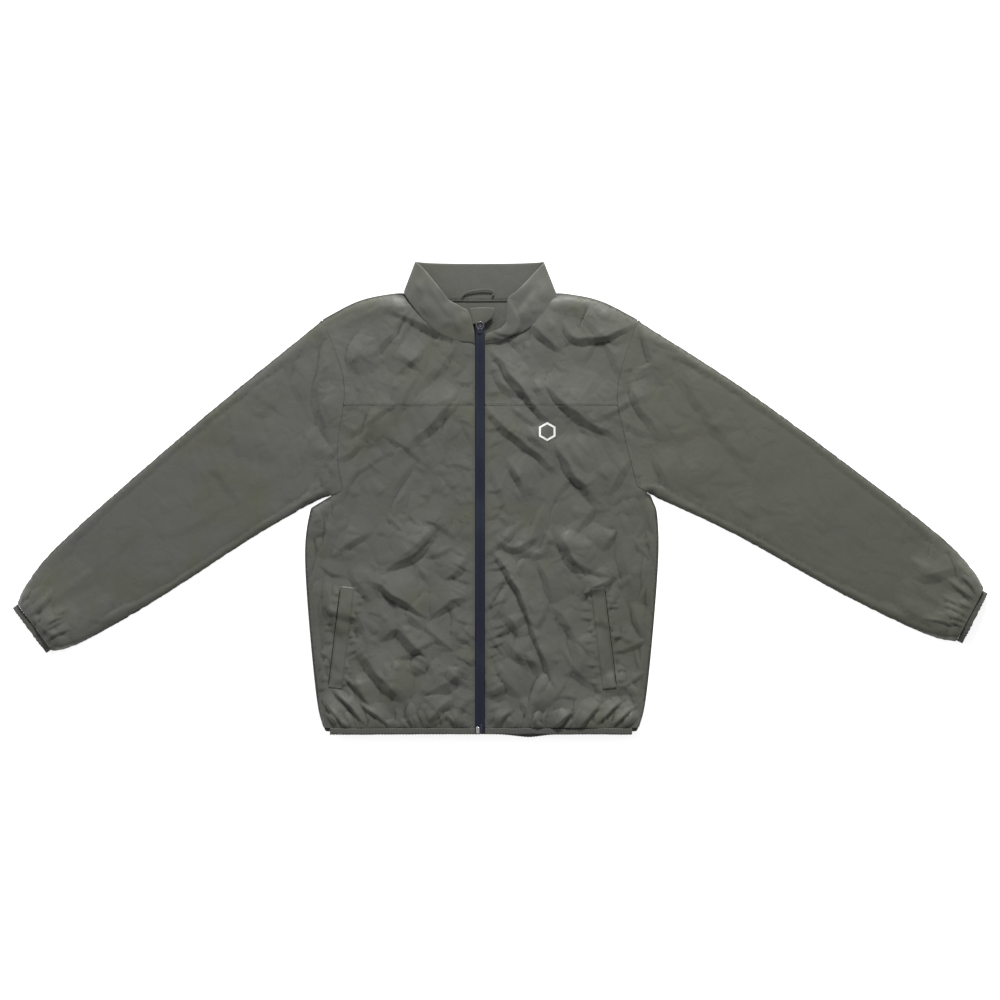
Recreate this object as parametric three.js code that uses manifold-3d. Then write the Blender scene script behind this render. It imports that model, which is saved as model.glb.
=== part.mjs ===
// A zip-front windbreaker jacket, laid flat on its back with the sleeves spread.
// Millimetres. +Z is up, away from the surface it lies on, and +Y points to the collar.
// The origin is on the centre-front line, on the underside of the back panel.
// "right" and "left" are the wearer's, so the right sleeve lies towards -X.
import * as THREE from "three";
import { mergeVertices } from "three/addons/utils/BufferGeometryUtils.js";
import Module from "manifold-3d";

const wasm = await Module();
wasm.setup();

// ---- Driving dimensions ----

// Cloth, drawn thicker than the real 0.1 mm so that each piece is a sound solid.
const cloth = 0.8;
const lining = 0.6;
const seamGap = 0.5;
const loft = 16;
const edgeRoll = 55;
const foldGap = 0.6;

// Lengths down the jacket, measured from the back neck seam.
const neckY = 307;
const torsoLength = 669;
const frontHemRise = 6;
const yokeDrop = 164;
const waistDrop = 399;
const frontNeckDrop = 71;
const shoulderRise = 8;

// One row for each side, because a jacket never lies quite evenly.
// A pair is [distance out from the centre line, drop below the back neck seam].
const sides = [
  {
    name: "right",
    sign: -1,
    neckOut: 118,
    shoulderTip: [240, 34],
    armholeIn: [206, 129],
    armholeLow: [217, 227],
    armpit: [209, 293],
    underarm: [256, 314],
    waistHalf: 266,
    hemHalf: 229,
    sleeveLength: 573,
    sleeveAngle: 36.7,
    cuffTurn: 0.9,
    foldOut: 262,
    pocketOut: 211,
  },
  {
    name: "left",
    sign: 1,
    neckOut: 116,
    shoulderTip: [240, 34],
    armholeIn: [209, 135],
    armholeLow: [220, 211],
    armpit: [239, 286],
    underarm: [267, 305],
    waistHalf: 271,
    hemHalf: 232,
    sleeveLength: 608,
    sleeveAngle: 32.6,
    cuffTurn: 5,
    foldOut: 273,
    pocketOut: 188,
  },
];

// Grid steps along a sleeve, and the wall left either side of its hollow.
const sleeveSteps = 20;
const sleeveWall = 2.4;

// Sleeve half-widths either side of its own centre line.
const upperArmHalf = 106;
const elbowHalf = 90;
const wristHalf = 72;
const cuffHalf = 43.5;

// Elastic bindings round the hem and the cuffs.
const bindingWidth = 9;
const bindingThickness = 2.6;
const bindingWall = 0.5;
const elasticWidth = 6.6;
const elasticThickness = 0.8;

// Stand-up collar.
const collarHeight = 53;
const collarHalfTop = 97;
const collarFrontOut = 16;
const backBand = 1.7;
const collarInset = 1.7;

// Front zip: two tapes with the coil on the inside face.
const zipHalf = 7.25;
const webGap = 0.7;
const coilWidth = 2.6;
const coilHeight = 1.3;
const coilDrop = 0.3;
const zipTopGap = 36;
const stopLength = 4;
const retainerLength = 10;
const pinLength = 13;
const tapePastStops = 8;
const tapeAboveHem = 1;
const clipGap = 0.4;
const clipBack = 0.8;
const clipMouthGap = 0.35;
const stopReach = 2.6;
const pinReach = 2.4;
const boxReach = 5.3;

// Slider and its ring pull.
const sliderLength = 14;
const sliderWidth = 11;
const sliderPlate = 1.1;
const sliderClearance = 0.4;
const webThickness = 0.7;
const bridgeHeight = 2.8;
const bridgeLength = 7;
const bridgeWidth = 2.2;
const bridgeWall = 0.8;
const ringOuter = 6.2;
const ringWire = 1.5;
const ringPlay = 0.6;
const sliderBelowStop = 2;

// Wind flap behind the zip.
const flapDrop = 6.3;
const flapRight = 15;
const flapLeft = 23;
const flapAbove = 55;
const flapAboveHem = 3;
const flapCorner = 9;

// Welt pockets.
const pocketDrop = 517;
const pocketLength = 156;
const pocketLean = 7;
const weltWidth = 22;
const weltThickness = 1.2;
const slotWidth = 9;
const bagWidth = 122;
const bagLength = 168;
const bagDepth = 7;
const bagSeam = 14;
const bagPastSlot = 5;
const plyGap = 0.7;

// Hanger loop, neck tape and the printed badge.
const loopMiddle = -3;
const loopHalf = 23;
const loopRise = 11;
const loopWidth = 3.6;
const loopHeight = 3.8;
const tapeWidth = 7;
const badgeOut = 102;
const badgeDrop = 204;
const badgeRadius = 14.5;
const badgeLine = 3.4;
const badgeThickness = 0.4;

const hemY = neckY - torsoLength;
const frontHemY = hemY + frontHemRise;
const frontNeckY = neckY - frontNeckDrop;
const zipTopY = frontNeckY + zipTopGap;
const sliderY = zipTopY - stopLength - sliderLength / 2 - sliderBelowStop;

// ---- Plan curves ----

const at = (side, [out, drop]) =>
  new THREE.Vector2(side.sign * out, neckY - drop);
const spline = (points) => new THREE.SplineCurve(points);
const line = (a, b) => new THREE.LineCurve(a, b);
const radians = THREE.MathUtils.degToRad;

// The straight line from the middle of the armhole to the middle of the cuff.
function sleeveAxis(side) {
  const root = at(side, side.shoulderTip)
    .add(at(side, side.armpit))
    .multiplyScalar(0.5);
  const angle = radians(side.sleeveAngle);
  const along = new THREE.Vector2(
    side.sign * Math.cos(angle),
    -Math.sin(angle),
  );
  const across = new THREE.Vector2(side.sign * Math.sin(angle), Math.cos(angle));
  const place = (share, offset) =>
    root
      .clone()
      .addScaledVector(along, share * side.sleeveLength)
      .addScaledVector(across, offset);
  return { along, across, place };
}

// The cuff lies across the end of the sleeve, turned a little from square.
function cuffFrame(side) {
  const centre = sleeveAxis(side).place(1, 0);
  const angle = radians(side.sleeveAngle - side.cuffTurn);
  const along = new THREE.Vector2(side.sign * Math.cos(angle), -Math.sin(angle));
  const across = new THREE.Vector2(side.sign * Math.sin(angle), Math.cos(angle));
  const place = (back, offset) =>
    centre.clone().addScaledVector(along, -back).addScaledVector(across, offset);
  return { centre, along, across, place };
}

// Both edges of the sleeve run from the body to the cuff, and turn in where the elastic gathers it.
function sleeveTop(side) {
  const { place } = sleeveAxis(side);
  return spline([
    at(side, side.shoulderTip),
    place(0.2, upperArmHalf),
    place(0.52, elbowHalf + 4),
    place(0.82, wristHalf + 6),
    place(0.95, wristHalf - 15),
    cuffFrame(side).place(bindingWidth, cuffHalf + 1),
  ]);
}

function sleeveBottom(side) {
  const { place } = sleeveAxis(side);
  const corner = at(side, side.underarm);
  const rest = spline([
    corner,
    place(0.38, -elbowHalf),
    place(0.66, -wristHalf - 8),
    place(0.85, -wristHalf + 4),
    place(0.95, -wristHalf + 15),
    cuffFrame(side).place(bindingWidth, -cuffHalf - 1),
  ]);
  const share = 2 / sleeveSteps;
  const whole = new THREE.Curve();
  whole.getPoint = (t) =>
    t < share
      ? at(side, side.armpit).lerp(corner, t / share)
      : rest.getPoint((t - share) / (1 - share));
  return whole;
}

const armhole = (side) =>
  spline([
    at(side, side.armpit),
    at(side, side.armholeLow),
    at(side, side.armholeIn),
    at(side, side.shoulderTip),
  ]);

const sideSeam = (side) =>
  spline([
    new THREE.Vector2(side.sign * side.hemHalf, hemY),
    new THREE.Vector2(
      (side.sign * (side.hemHalf + side.waistHalf)) / 2,
      0.8 * hemY + 0.2 * (neckY - waistDrop),
    ),
    new THREE.Vector2(side.sign * side.waistHalf, neckY - waistDrop),
    at(side, side.underarm),
  ]);

const shoulder = (side) =>
  spline([
    at(side, side.shoulderTip),
    at(side, [0.52 * side.shoulderTip[0] + 0.48 * side.neckOut, 4]),
    at(side, [side.neckOut, -shoulderRise]),
  ]);

// ---- The crowned height of the front ----

const closedEdges = sides.flatMap((side) =>
  [sideSeam(side), sleeveTop(side), shoulder(side), underarmOn(side)].map((c) =>
    c.getPoints(24),
  ),
);

// The sleeve's lower edge beyond the underarm corner, which is on the outline.
function underarmOn(side) {
  return spline(sleeveBottom(side).getPoints(2 * sleeveSteps).slice(4));
}

function toSegment(p, a, b) {
  const ab = b.clone().sub(a);
  const share = p.clone().sub(a).dot(ab) / ab.lengthSq();
  return p.distanceTo(a.clone().addScaledVector(ab, THREE.MathUtils.clamp(share, 0, 1)));
}

function edgeDistance(p) {
  let nearest = Infinity;
  for (const points of closedEdges)
    for (let i = 1; i < points.length; i++)
      nearest = Math.min(nearest, toSegment(p, points[i - 1], points[i]));
  return nearest;
}

// Height of the underside of the front cloth over any point of the plan.
function frontUnder(x, y) {
  const low = cloth + foldGap;
  const share = Math.min(1, edgeDistance(new THREE.Vector2(x, y)) / edgeRoll);
  return low + (loft - low) * Math.sin((share * Math.PI) / 2);
}
const frontTop = (x, y) => frontUnder(x, y) + cloth;

// ---- Solids ----

// A grid of plan points inside four boundary curves: bottom and top run across, start and end run up.
function patch(bottom, top, start, end) {
  return (u, v) => {
    const p = new THREE.Vector2();
    const add = (q, k) => p.addScaledVector(q, k);
    add(bottom.getPoint(u), 1 - v);
    add(top.getPoint(u), v);
    add(start.getPoint(v), 1 - u);
    add(end.getPoint(v), u);
    add(bottom.getPoint(0), -(1 - u) * (1 - v));
    add(bottom.getPoint(1), -u * (1 - v));
    add(top.getPoint(0), -(1 - u) * v);
    add(top.getPoint(1), -u * v);
    return p;
  };
}

// A closed skin over a grid: low(u, v) and high(u, v) give its two faces.
function skin(low, high, nu, nv) {
  const positions = [];
  const index = [];
  for (const face of [low, high])
    for (let i = 0; i <= nu; i++)
      for (let j = 0; j <= nv; j++) positions.push(...face(i / nu, j / nv));
  const id = (face, i, j) => face * (nu + 1) * (nv + 1) + i * (nv + 1) + j;
  const quad = (a, b, c, d) => index.push(a, b, c, a, c, d);
  for (let i = 0; i < nu; i++)
    for (let j = 0; j < nv; j++) {
      quad(id(1, i, j), id(1, i + 1, j), id(1, i + 1, j + 1), id(1, i, j + 1));
      quad(id(0, i, j), id(0, i, j + 1), id(0, i + 1, j + 1), id(0, i + 1, j));
    }
  for (let i = 0; i < nu; i++) {
    quad(id(0, i, 0), id(0, i + 1, 0), id(1, i + 1, 0), id(1, i, 0));
    quad(id(0, i + 1, nv), id(0, i, nv), id(1, i, nv), id(1, i + 1, nv));
  }
  for (let j = 0; j < nv; j++) {
    quad(id(0, 0, j + 1), id(0, 0, j), id(1, 0, j), id(1, 0, j + 1));
    quad(id(0, nu, j), id(0, nu, j + 1), id(1, nu, j + 1), id(1, nu, j));
  }
  const geometry = new THREE.BufferGeometry();
  geometry.setAttribute("position", new THREE.Float32BufferAttribute(positions, 3));
  geometry.setIndex(index);
  return facingOut(geometry);
}

// A slab over a plan patch, between two height functions of x and y.
function slab(plan, low, high, nu, nv) {
  const face = (height) => (u, v) => {
    const p = plan(u, v);
    return [p.x, p.y, height(p.x, p.y)];
  };
  return skin(face(low), face(high), nu, nv);
}

// The same geometry with its faces pointing out, whichever side of the jacket it was drawn for.
function facingOut(geometry) {
  const position = geometry.attributes.position;
  const index = [...geometry.index.array];
  const corner = (i) => new THREE.Vector3().fromBufferAttribute(position, index[i]);
  let volume = 0;
  for (let i = 0; i < index.length; i += 3)
    volume += corner(i).dot(corner(i + 1).cross(corner(i + 2)));
  if (volume >= 0) return geometry;
  for (let i = 0; i < index.length; i += 3)
    [index[i + 1], index[i + 2]] = [index[i + 2], index[i + 1]];
  return geometry.setIndex(index);
}

// A cut that comes out open has a step before the start of its body and a step after the end.
const station = (u, steps) => (u * (steps + 2) - 1) / steps;

function solid(geometry) {
  const bare = geometry.index ? geometry.toNonIndexed() : geometry.clone();
  bare.deleteAttribute("normal");
  bare.deleteAttribute("uv");
  const merged = mergeVertices(bare, 1e-4);
  return new wasm.Manifold(
    new wasm.Mesh({
      numProp: 3,
      vertProperties: merged.attributes.position.array,
      triVerts: new Uint32Array(merged.index.array),
    }),
  );
}

function geometryOf(made) {
  const mesh = made.getMesh();
  const positions = new Float32Array(mesh.numVert * 3);
  for (let i = 0; i < mesh.numVert; i++)
    positions.set(
      mesh.vertProperties.subarray(i * mesh.numProp, i * mesh.numProp + 3),
      i * 3,
    );
  const geometry = new THREE.BufferGeometry();
  geometry.setAttribute("position", new THREE.BufferAttribute(positions, 3));
  geometry.setIndex([...mesh.triVerts]);
  return geometry;
}

const cut = (body, ...tools) =>
  geometryOf(tools.reduce((left, tool) => left.subtract(solid(tool)), solid(body)));
const joined = (...bodies) =>
  geometryOf(bodies.map(solid).reduce((sum, body) => sum.add(body)));

// A box given by its lowest and highest corners.
function block([x0, y0, z0], [x1, y1, z1]) {
  return new THREE.BoxGeometry(
    Math.abs(x1 - x0),
    Math.abs(y1 - y0),
    Math.abs(z1 - z0),
  ).translate((x0 + x1) / 2, (y0 + y1) / 2, (z0 + z1) / 2);
}

// ---- Materials ----

const paint = (color, roughness, metalness = 0) =>
  new THREE.MeshStandardMaterial({ color, roughness, metalness });
const shellCloth = paint(0x62635e, 0.55);
const bindingCloth = paint(0x4b4c48, 0.8);
const elasticWeb = paint(0x2b2b2a, 0.9);
const meshLining = paint(0x3a3b38, 0.85);
const zipTape = paint(0x2e303f, 0.45);
const zipCoil = paint(0x23242c, 0.4);
const darkMetal = paint(0x2a2a30, 0.35, 0.8);
const brightMetal = paint(0xc9c9cc, 0.25, 0.95);
const whitePrint = paint(0xf4f4f2, 0.5);

const jacket = new THREE.Group();

function add(name, geometry, material, group = jacket) {
  const mesh = new THREE.Mesh(geometry, material);
  mesh.name = name;
  group.add(mesh);
  return mesh;
}

const flat = (z) => () => z;

// ---- Torso cloth ----

// The outer edge of a front or back panel from the hem to the yoke seam, as out-distance against height.
function outerEdge(side) {
  const points = [
    ...sideSeam(side).getPoints(24),
    at(side, side.armpit),
    ...armhole(side).getPoints(24).slice(1),
  ];
  return (y) => {
    const i = points.findIndex((p) => p.y >= y);
    if (i <= 0) return points[Math.max(i, 0)].x;
    const [a, b] = [points[i - 1], points[i]];
    return a.x + ((b.x - a.x) * (y - a.y)) / (b.y - a.y);
  };
}

// A curve that follows a function of height between two heights.
class HeightCurve extends THREE.Curve {
  constructor(xAt, from, to) {
    super();
    Object.assign(this, { xAt, from, to });
  }
  getPoint(t) {
    const y = this.from + (this.to - this.from) * t;
    return new THREE.Vector2(this.xAt(y), y);
  }
}

// A panel between the binding and the yoke seam, from the outer edge to the inner line.
function panelPlan(side, innerX, bottomY, topY) {
  const outer = outerEdge(side);
  const inner = () => side.sign * innerX;
  const a = new HeightCurve(outer, bottomY, topY);
  const b = new HeightCurve(inner, bottomY, topY);
  return patch(line(a.getPoint(0), b.getPoint(0)), line(a.getPoint(1), b.getPoint(1)), a, b);
}

// The slanted frame of a welt pocket: out is away from the centre line, down follows the lean.
function pocketFrame(side) {
  const lean = radians(pocketLean);
  const centre = at(side, [side.pocketOut, pocketDrop]);
  const out = new THREE.Vector2(side.sign * Math.cos(lean), Math.sin(lean));
  const down = new THREE.Vector2(side.sign * Math.sin(lean), -Math.cos(lean));
  return (outBy, downBy) =>
    centre.clone().addScaledVector(out, outBy).addScaledVector(down, downBy);
}

// A straight-sided patch in the pocket's frame, between two out-distances and two down-distances.
function pocketPlan(side, out0, out1, down0, down1) {
  const place = pocketFrame(side);
  const corner = (o, d) => place(o, d);
  return patch(
    line(corner(out0, down1), corner(out1, down1)),
    line(corner(out0, down0), corner(out1, down0)),
    line(corner(out0, down1), corner(out0, down0)),
    line(corner(out1, down1), corner(out1, down0)),
  );
}

const slotInner = weltWidth / 2;
const slotOuter = slotInner + slotWidth;

function frontPanel(side) {
  const plan = panelPlan(
    side,
    zipHalf + seamGap,
    frontHemY + bindingWidth + seamGap,
    neckY - yokeDrop - seamGap / 2,
  );
  const cloth3d = slab(plan, frontUnder, frontTop, 12, 22);
  const half = pocketLength / 2;
  const slot = slab(
    pocketPlan(side, slotInner, slotOuter, -half, half),
    flat(-loft),
    flat(3 * loft),
    1,
    1,
  );
  return cut(cloth3d, slot, sleeveGround(side));
}

// The neck edge of the yoke, from the side of the neck down to the zip.
const frontNeck = (side) =>
  spline([
    at(side, [side.neckOut, -shoulderRise]),
    at(side, [0.9 * side.neckOut, 12]),
    at(side, [0.52 * side.neckOut, frontNeckDrop - 15]),
    at(side, [zipHalf + seamGap, frontNeckDrop]),
  ]);

const backNeck = (side) =>
  spline([
    at(side, [side.neckOut, -shoulderRise]),
    at(side, [0.6 * side.neckOut, -0.2 * shoulderRise]),
    at(side, [0, 0]),
  ]);

// One curve made of two, joined end to end and sampled evenly by length.
function chain(first, second) {
  const path = new THREE.CurvePath();
  path.curves.push(spline(first.getSpacedPoints(12)), spline(second.getSpacedPoints(12)));
  const wrap = new THREE.Curve();
  wrap.getPoint = (t) => path.getPointAt(t);
  return wrap;
}

// The part of the armhole above the yoke seam.
const upperArmhole = (side) =>
  new HeightCurve(
    outerEdge(side),
    neckY - yokeDrop + seamGap / 2,
    neckY - side.shoulderTip[1],
  );

function frontYoke(side) {
  const outer = upperArmhole(side);
  const top = chain(shoulder(side), frontNeck(side));
  const inner = line(
    at(side, [zipHalf + seamGap, yokeDrop - seamGap / 2]),
    at(side, [zipHalf + seamGap, frontNeckDrop]),
  );
  const plan = patch(line(outer.getPoint(0), inner.getPoint(0)), top, outer, inner);
  return cut(slab(plan, frontUnder, frontTop, 14, 8), sleeveGround(side));
}

function backPanel() {
  const [right, left] = sides.map(
    (side) =>
      new HeightCurve(
        outerEdge(side),
        hemY + bindingWidth + seamGap,
        neckY - yokeDrop - seamGap / 2,
      ),
  );
  const plan = patch(
    line(right.getPoint(0), left.getPoint(0)),
    line(right.getPoint(1), left.getPoint(1)),
    right,
    left,
  );
  return cut(slab(plan, flat(0), flat(cloth), 4, 22), ...sides.map(sleeveGround));
}

function backYoke() {
  const halves = sides.map((side) => {
    const outer = upperArmhole(side);
    const centre = line(
      new THREE.Vector2(0, neckY - yokeDrop + seamGap / 2),
      new THREE.Vector2(0, neckY),
    );
    const plan = patch(
      line(outer.getPoint(0), centre.getPoint(0)),
      chain(shoulder(side), backNeck(side)),
      outer,
      centre,
    );
    return slab(plan, flat(0), flat(cloth), 12, 6);
  });
  return cut(joined(...halves), ...sides.map(sleeveGround));
}

// ---- Bindings ----

// A folded strip of binding over a plan patch, open at both ends, and the elastic that runs in it.
function binding(plan, low, high, nu) {
  const share = bindingWall / bindingWidth;
  const past = 0.01;
  const inner = (u, v) =>
    plan(
      THREE.MathUtils.clamp(station(u, nu), -past, 1 + past),
      share + v * (1 - 2 * share),
    );
  const channel = slab(
    inner,
    (x, y) => low(x, y) + bindingWall,
    (x, y) => high(x, y) - bindingWall,
    nu + 2,
    1,
  );
  return cut(slab(plan, low, high, nu, 1), channel);
}

function elasticStrip(plan, low, high, nu) {
  const share = (1 - elasticWidth / bindingWidth) / 2;
  const middle = (x, y) => (low(x, y) + high(x, y)) / 2;
  return slab(
    (u, v) => plan(u, share + v * (1 - 2 * share)),
    (x, y) => middle(x, y) - elasticThickness / 2,
    (x, y) => middle(x, y) + elasticThickness / 2,
    nu,
    1,
  );
}

// The front binding follows the height of the front cloth, and never sinks into the back binding.
function hemLow(x) {
  const middle = frontUnder(x, frontHemY + bindingWidth / 2) + cloth / 2;
  return Math.max(middle - bindingThickness / 2, bindingThickness + foldGap);
}
const hemHigh = (x) => hemLow(x) + bindingThickness;

function hemPlan(side) {
  const bottom = frontHemY;
  const top = frontHemY + bindingWidth;
  const near = side.sign * (zipHalf + seamGap);
  const far = side.sign * (side.hemHalf - 1);
  const corner = (x, y) => new THREE.Vector2(x, y);
  return patch(
    line(corner(far, bottom), corner(near, bottom)),
    line(corner(far, top), corner(near, top)),
    line(corner(far, bottom), corner(far, top)),
    line(corner(near, bottom), corner(near, top)),
  );
}

function backHemPlan() {
  const [right, left] = sides.map((side) => side.sign * (side.hemHalf - 1));
  const corner = (x, y) => new THREE.Vector2(x, y);
  const top = hemY + bindingWidth;
  return patch(
    line(corner(right, hemY), corner(left, hemY)),
    line(corner(right, top), corner(left, top)),
    line(corner(right, hemY), corner(right, top)),
    line(corner(left, hemY), corner(left, top)),
  );
}

// ---- Sleeves ----

// Plan of a sleeve between two shares of its length; across runs from its lower edge to its upper one.
function sleevePlan(side) {
  const bottom = sleeveBottom(side);
  const top = sleeveTop(side);
  const end = line(bottom.getPoint(1), top.getPoint(1));
  const plan = patch(bottom, top, armhole(side), end);
  const { along } = cuffFrame(side);
  return (u, v) => plan(u, v).addScaledVector(along, -seamGap * u);
}

// The ground that the sleeve covers, moved towards the body to leave a seam.
function sleeveGround(side) {
  const plan = sleevePlan(side);
  const towardsBody = new THREE.Vector2(-side.sign * seamGap, -seamGap);
  return slab((u, v) => plan(u, v).add(towardsBody), flat(-loft), flat(3 * loft), sleeveSteps, 10);
}

// Narrows a plan from both sides by a wall, and runs past its ends so that a cut comes out open.
function bored(plan, wall, past) {
  return (u, v) => {
    const stretched = THREE.MathUtils.clamp(u, 0, 1);
    const width = plan(stretched, 0).distanceTo(plan(stretched, 1));
    const share = wall / width;
    const p = plan(stretched, share + v * (1 - 2 * share));
    const ahead = plan(1, v).sub(plan(0.98, v)).normalize();
    const behind = plan(0, v).sub(plan(0.02, v)).normalize();
    if (u > 1) p.addScaledVector(ahead, past);
    if (u < 0) p.addScaledVector(behind, past);
    return p;
  };
}

function throughCut(plan, wall, low, high, nu, nv) {
  const narrow = bored(plan, wall, 4);
  return slab((u, v) => narrow(station(u, nu), v), low, high, nu + 2, nv);
}

function sleeve(side) {
  const plan = sleevePlan(side);
  const outer = slab(plan, flat(0), frontTop, sleeveSteps, 10);
  const hollow = throughCut(
    plan,
    sleeveWall,
    flat(cloth),
    (x, y) => Math.max(frontUnder(x, y), cloth + 0.4),
    sleeveSteps,
    10,
  );
  return cut(outer, hollow);
}

// The sleeve is split where it folds across the front: the cap stays with the torso.
function beyondFold(side, past) {
  const far = side.foldOut + 2 * side.sleeveLength;
  const reach = neckY + torsoLength;
  const from = side.sign * (side.foldOut + past);
  return block([from, -reach, -loft], [side.sign * far, reach, 3 * loft]);
}

const sleeveCap = (side) => cut(sleeve(side), beyondFold(side, -seamGap / 2));

const foldingSleeve = (side) =>
  geometryOf(solid(sleeve(side)).intersect(solid(beyondFold(side, seamGap / 2))));

// The cuff's own plan: a short rectangle at the end of the sleeve.
function cuffPlan(side) {
  const { place } = cuffFrame(side);
  return (u, v) => place(bindingWidth * (1 - u), cuffHalf * (2 * v - 1));
}

// Top of the cuff at a share of the way across it: a flat loop with rounded sides.
function cuffHeight(side) {
  const { centre, across } = cuffFrame(side);
  const rise = loft - bindingThickness;
  return (inset) => (x, y) => {
    const offset = new THREE.Vector2(x, y).sub(centre).dot(across);
    const share = Math.min(1, Math.abs(offset) / cuffHalf);
    return bindingThickness + rise * Math.sqrt(1 - 0.9 * share ** 4) - inset;
  };
}

// A flat ring round the cuff: everything between two depths below the binding's outer face.
function cuffRing(side, from, to, trim) {
  const plan = cuffPlan(side);
  const height = cuffHeight(side);
  const share = trim / bindingWidth;
  const part = (inset, over) => {
    const v0 = inset / (2 * cuffHalf);
    return (u, v) => plan(share - over + u * (1 - 2 * share + 2 * over), v0 + v * (1 - 2 * v0));
  };
  return cut(
    slab(part(from, 0), flat(from), height(from), 1, 12),
    slab(part(to, 0.2), flat(to), height(to), 1, 12),
  );
}

// The join in the ring, under the arm, where the two ends of the strip meet.
function cuffJoin(side, gap) {
  const { place } = cuffFrame(side);
  const past = 2;
  const plan = (u, v) =>
    place(bindingWidth + past - u * (bindingWidth + 2 * past), -0.7 * cuffHalf - gap * v);
  return slab(plan, flat(-1), flat(loft / 2), 1, 1);
}

function cuffBinding(side) {
  const ring = cuffRing(side, 0, bindingThickness, 0);
  const channel = cuffRing(side, bindingWall, bindingThickness - bindingWall, bindingWall);
  return cut(ring, channel, cuffJoin(side, seamGap));
}

function cuffElastic(side) {
  const depth = (bindingThickness - elasticThickness) / 2;
  const trim = (bindingWidth - elasticWidth) / 2;
  return cut(cuffRing(side, depth, depth + elasticThickness, trim), cuffJoin(side, seamGap));
}

// ---- Collar ----

// The collar is a band round the neck: it runs from the zip, round the side and across the back.
// Each row holds the [out, drop, height] of the band's foot and then of its rim.
function collarRows(side) {
  const n = side.neckOut;
  const neck = frontNeck(side);
  const onNeck = (t) => {
    const p = neck.getPoint(t);
    return [
      Math.abs(p.x) - collarInset,
      neckY - p.y - collarInset,
      frontTop(p.x, p.y) + foldGap,
    ];
  };
  const top = collarHalfTop;
  return [
    [[zipHalf + 2.5, frontNeckDrop - 2.4, loft + 2], [collarFrontOut, 20, loft + 3]],
    [onNeck(0.8), [0.36 * top, 13, loft + 3]],
    [onNeck(0.55), [0.53 * top, -1, loft + 2]],
    [onNeck(0.28), [0.82 * top, -34, loft - 3]],
    [[n - 1, -shoulderRise - 2, 6], [top, 2 - collarHeight, 8]],
    [[0.9 * n, -shoulderRise - 0.5, backBand + 0.5], [0.92 * top, -collarHeight, backBand + 0.5]],
    [[0.5 * n, -4, backBand], [0.5 * top, -collarHeight, backBand]],
  ];
}

function collarRails() {
  const rows = sides.map((side) =>
    collarRows(side).map((row) =>
      row.map(([out, drop, z]) => new THREE.Vector3(side.sign * out, neckY - drop, z)),
    ),
  );
  const middle = [
    new THREE.Vector3(0, neckY + 1, backBand),
    new THREE.Vector3(0, neckY + collarHeight, backBand),
  ];
  const all = [...rows[0], middle, ...rows[1].reverse()];
  return [0, 1].map((i) => new THREE.CatmullRomCurve3(all.map((row) => row[i])));
}

// A ply of the collar between two distances outside the band's own surface.
function collarPly(inner, outer) {
  const [foot, rim] = collarRails();
  const surface = (u, v) => foot.getPoint(u).lerp(rim.getPoint(u), v);
  const step = 0.004;
  const normal = (u, v) => {
    const clampU = THREE.MathUtils.clamp(u, step, 1 - step);
    const along = surface(clampU + step, v).sub(surface(clampU - step, v));
    const up = surface(u, 1).sub(surface(u, 0));
    return along.cross(up).normalize();
  };
  const face = (distance) => (u, v) => {
    const p = surface(u, v).addScaledVector(normal(u, v), distance);
    return [p.x, p.y, p.z];
  };
  return skin(face(inner), face(outer), 56, 3);
}

// ---- Zip ----

const tapeBottomY = frontHemY + tapeAboveHem;
const tapeTopY = zipTopY + tapePastStops;
const coilTop = loft - coilDrop;
const coilLow = coilTop - coilHeight;

function zipTapeHalf(sign) {
  return block(
    [sign * webGap, tapeBottomY, loft],
    [sign * zipHalf, tapeTopY, loft + cloth],
  );
}

function zipCoilHalf(sign, bottomY) {
  return block(
    [sign * webGap, bottomY, coilLow],
    [sign * (webGap + coilWidth), zipTopY - stopLength - seamGap, coilTop],
  );
}

// A small metal clip folded round a tape: two plates and the back that joins them outside its edge.
function tapeClip(sign, from, to, inner, outer, lowZ, highZ) {
  const body = block([sign * inner, from, lowZ], [sign * outer, to, highZ]);
  const mouth = block(
    [sign * (inner + clipBack), from - 1, loft - clipMouthGap],
    [sign * (outer + 2), to + 1, loft + cloth + clipMouthGap],
  );
  return cut(body, mouth);
}

// Clips sit just past the tape's inner edge, so that edge is notched back where each one sits.
function notchedTape(sign, clips) {
  const notches = clips.map(([from, to]) =>
    block(
      [0, from - clipGap, loft - 2],
      [sign * (webGap + clipBack + seamGap), to + clipGap, loft + 4],
    ),
  );
  return cut(zipTapeHalf(sign), ...notches);
}

const topStop = [zipTopY - stopLength, zipTopY];
const retainer = [tapeBottomY + clipGap, tapeBottomY + retainerLength];
const pin = [tapeBottomY + clipGap, tapeBottomY + clipGap + pinLength];

// ---- Slider ----

const sliderTop = loft + cloth + sliderClearance;
const sliderLow = coilLow - sliderClearance - sliderPlate;

// A boat-shaped plate, wider at the shoulder than at the tail.
function sliderPlateShape(width, length) {
  const w = width / 2;
  const l = length / 2;
  const shape = new THREE.Shape();
  shape.moveTo(-w * 0.72, -l);
  shape.lineTo(w * 0.72, -l);
  shape.quadraticCurveTo(w, 0, w * 0.96, l * 0.55);
  shape.quadraticCurveTo(w * 0.7, l, 0, l);
  shape.quadraticCurveTo(-w * 0.7, l, -w * 0.96, l * 0.55);
  shape.quadraticCurveTo(-w, 0, -w * 0.72, -l);
  return shape;
}

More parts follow.
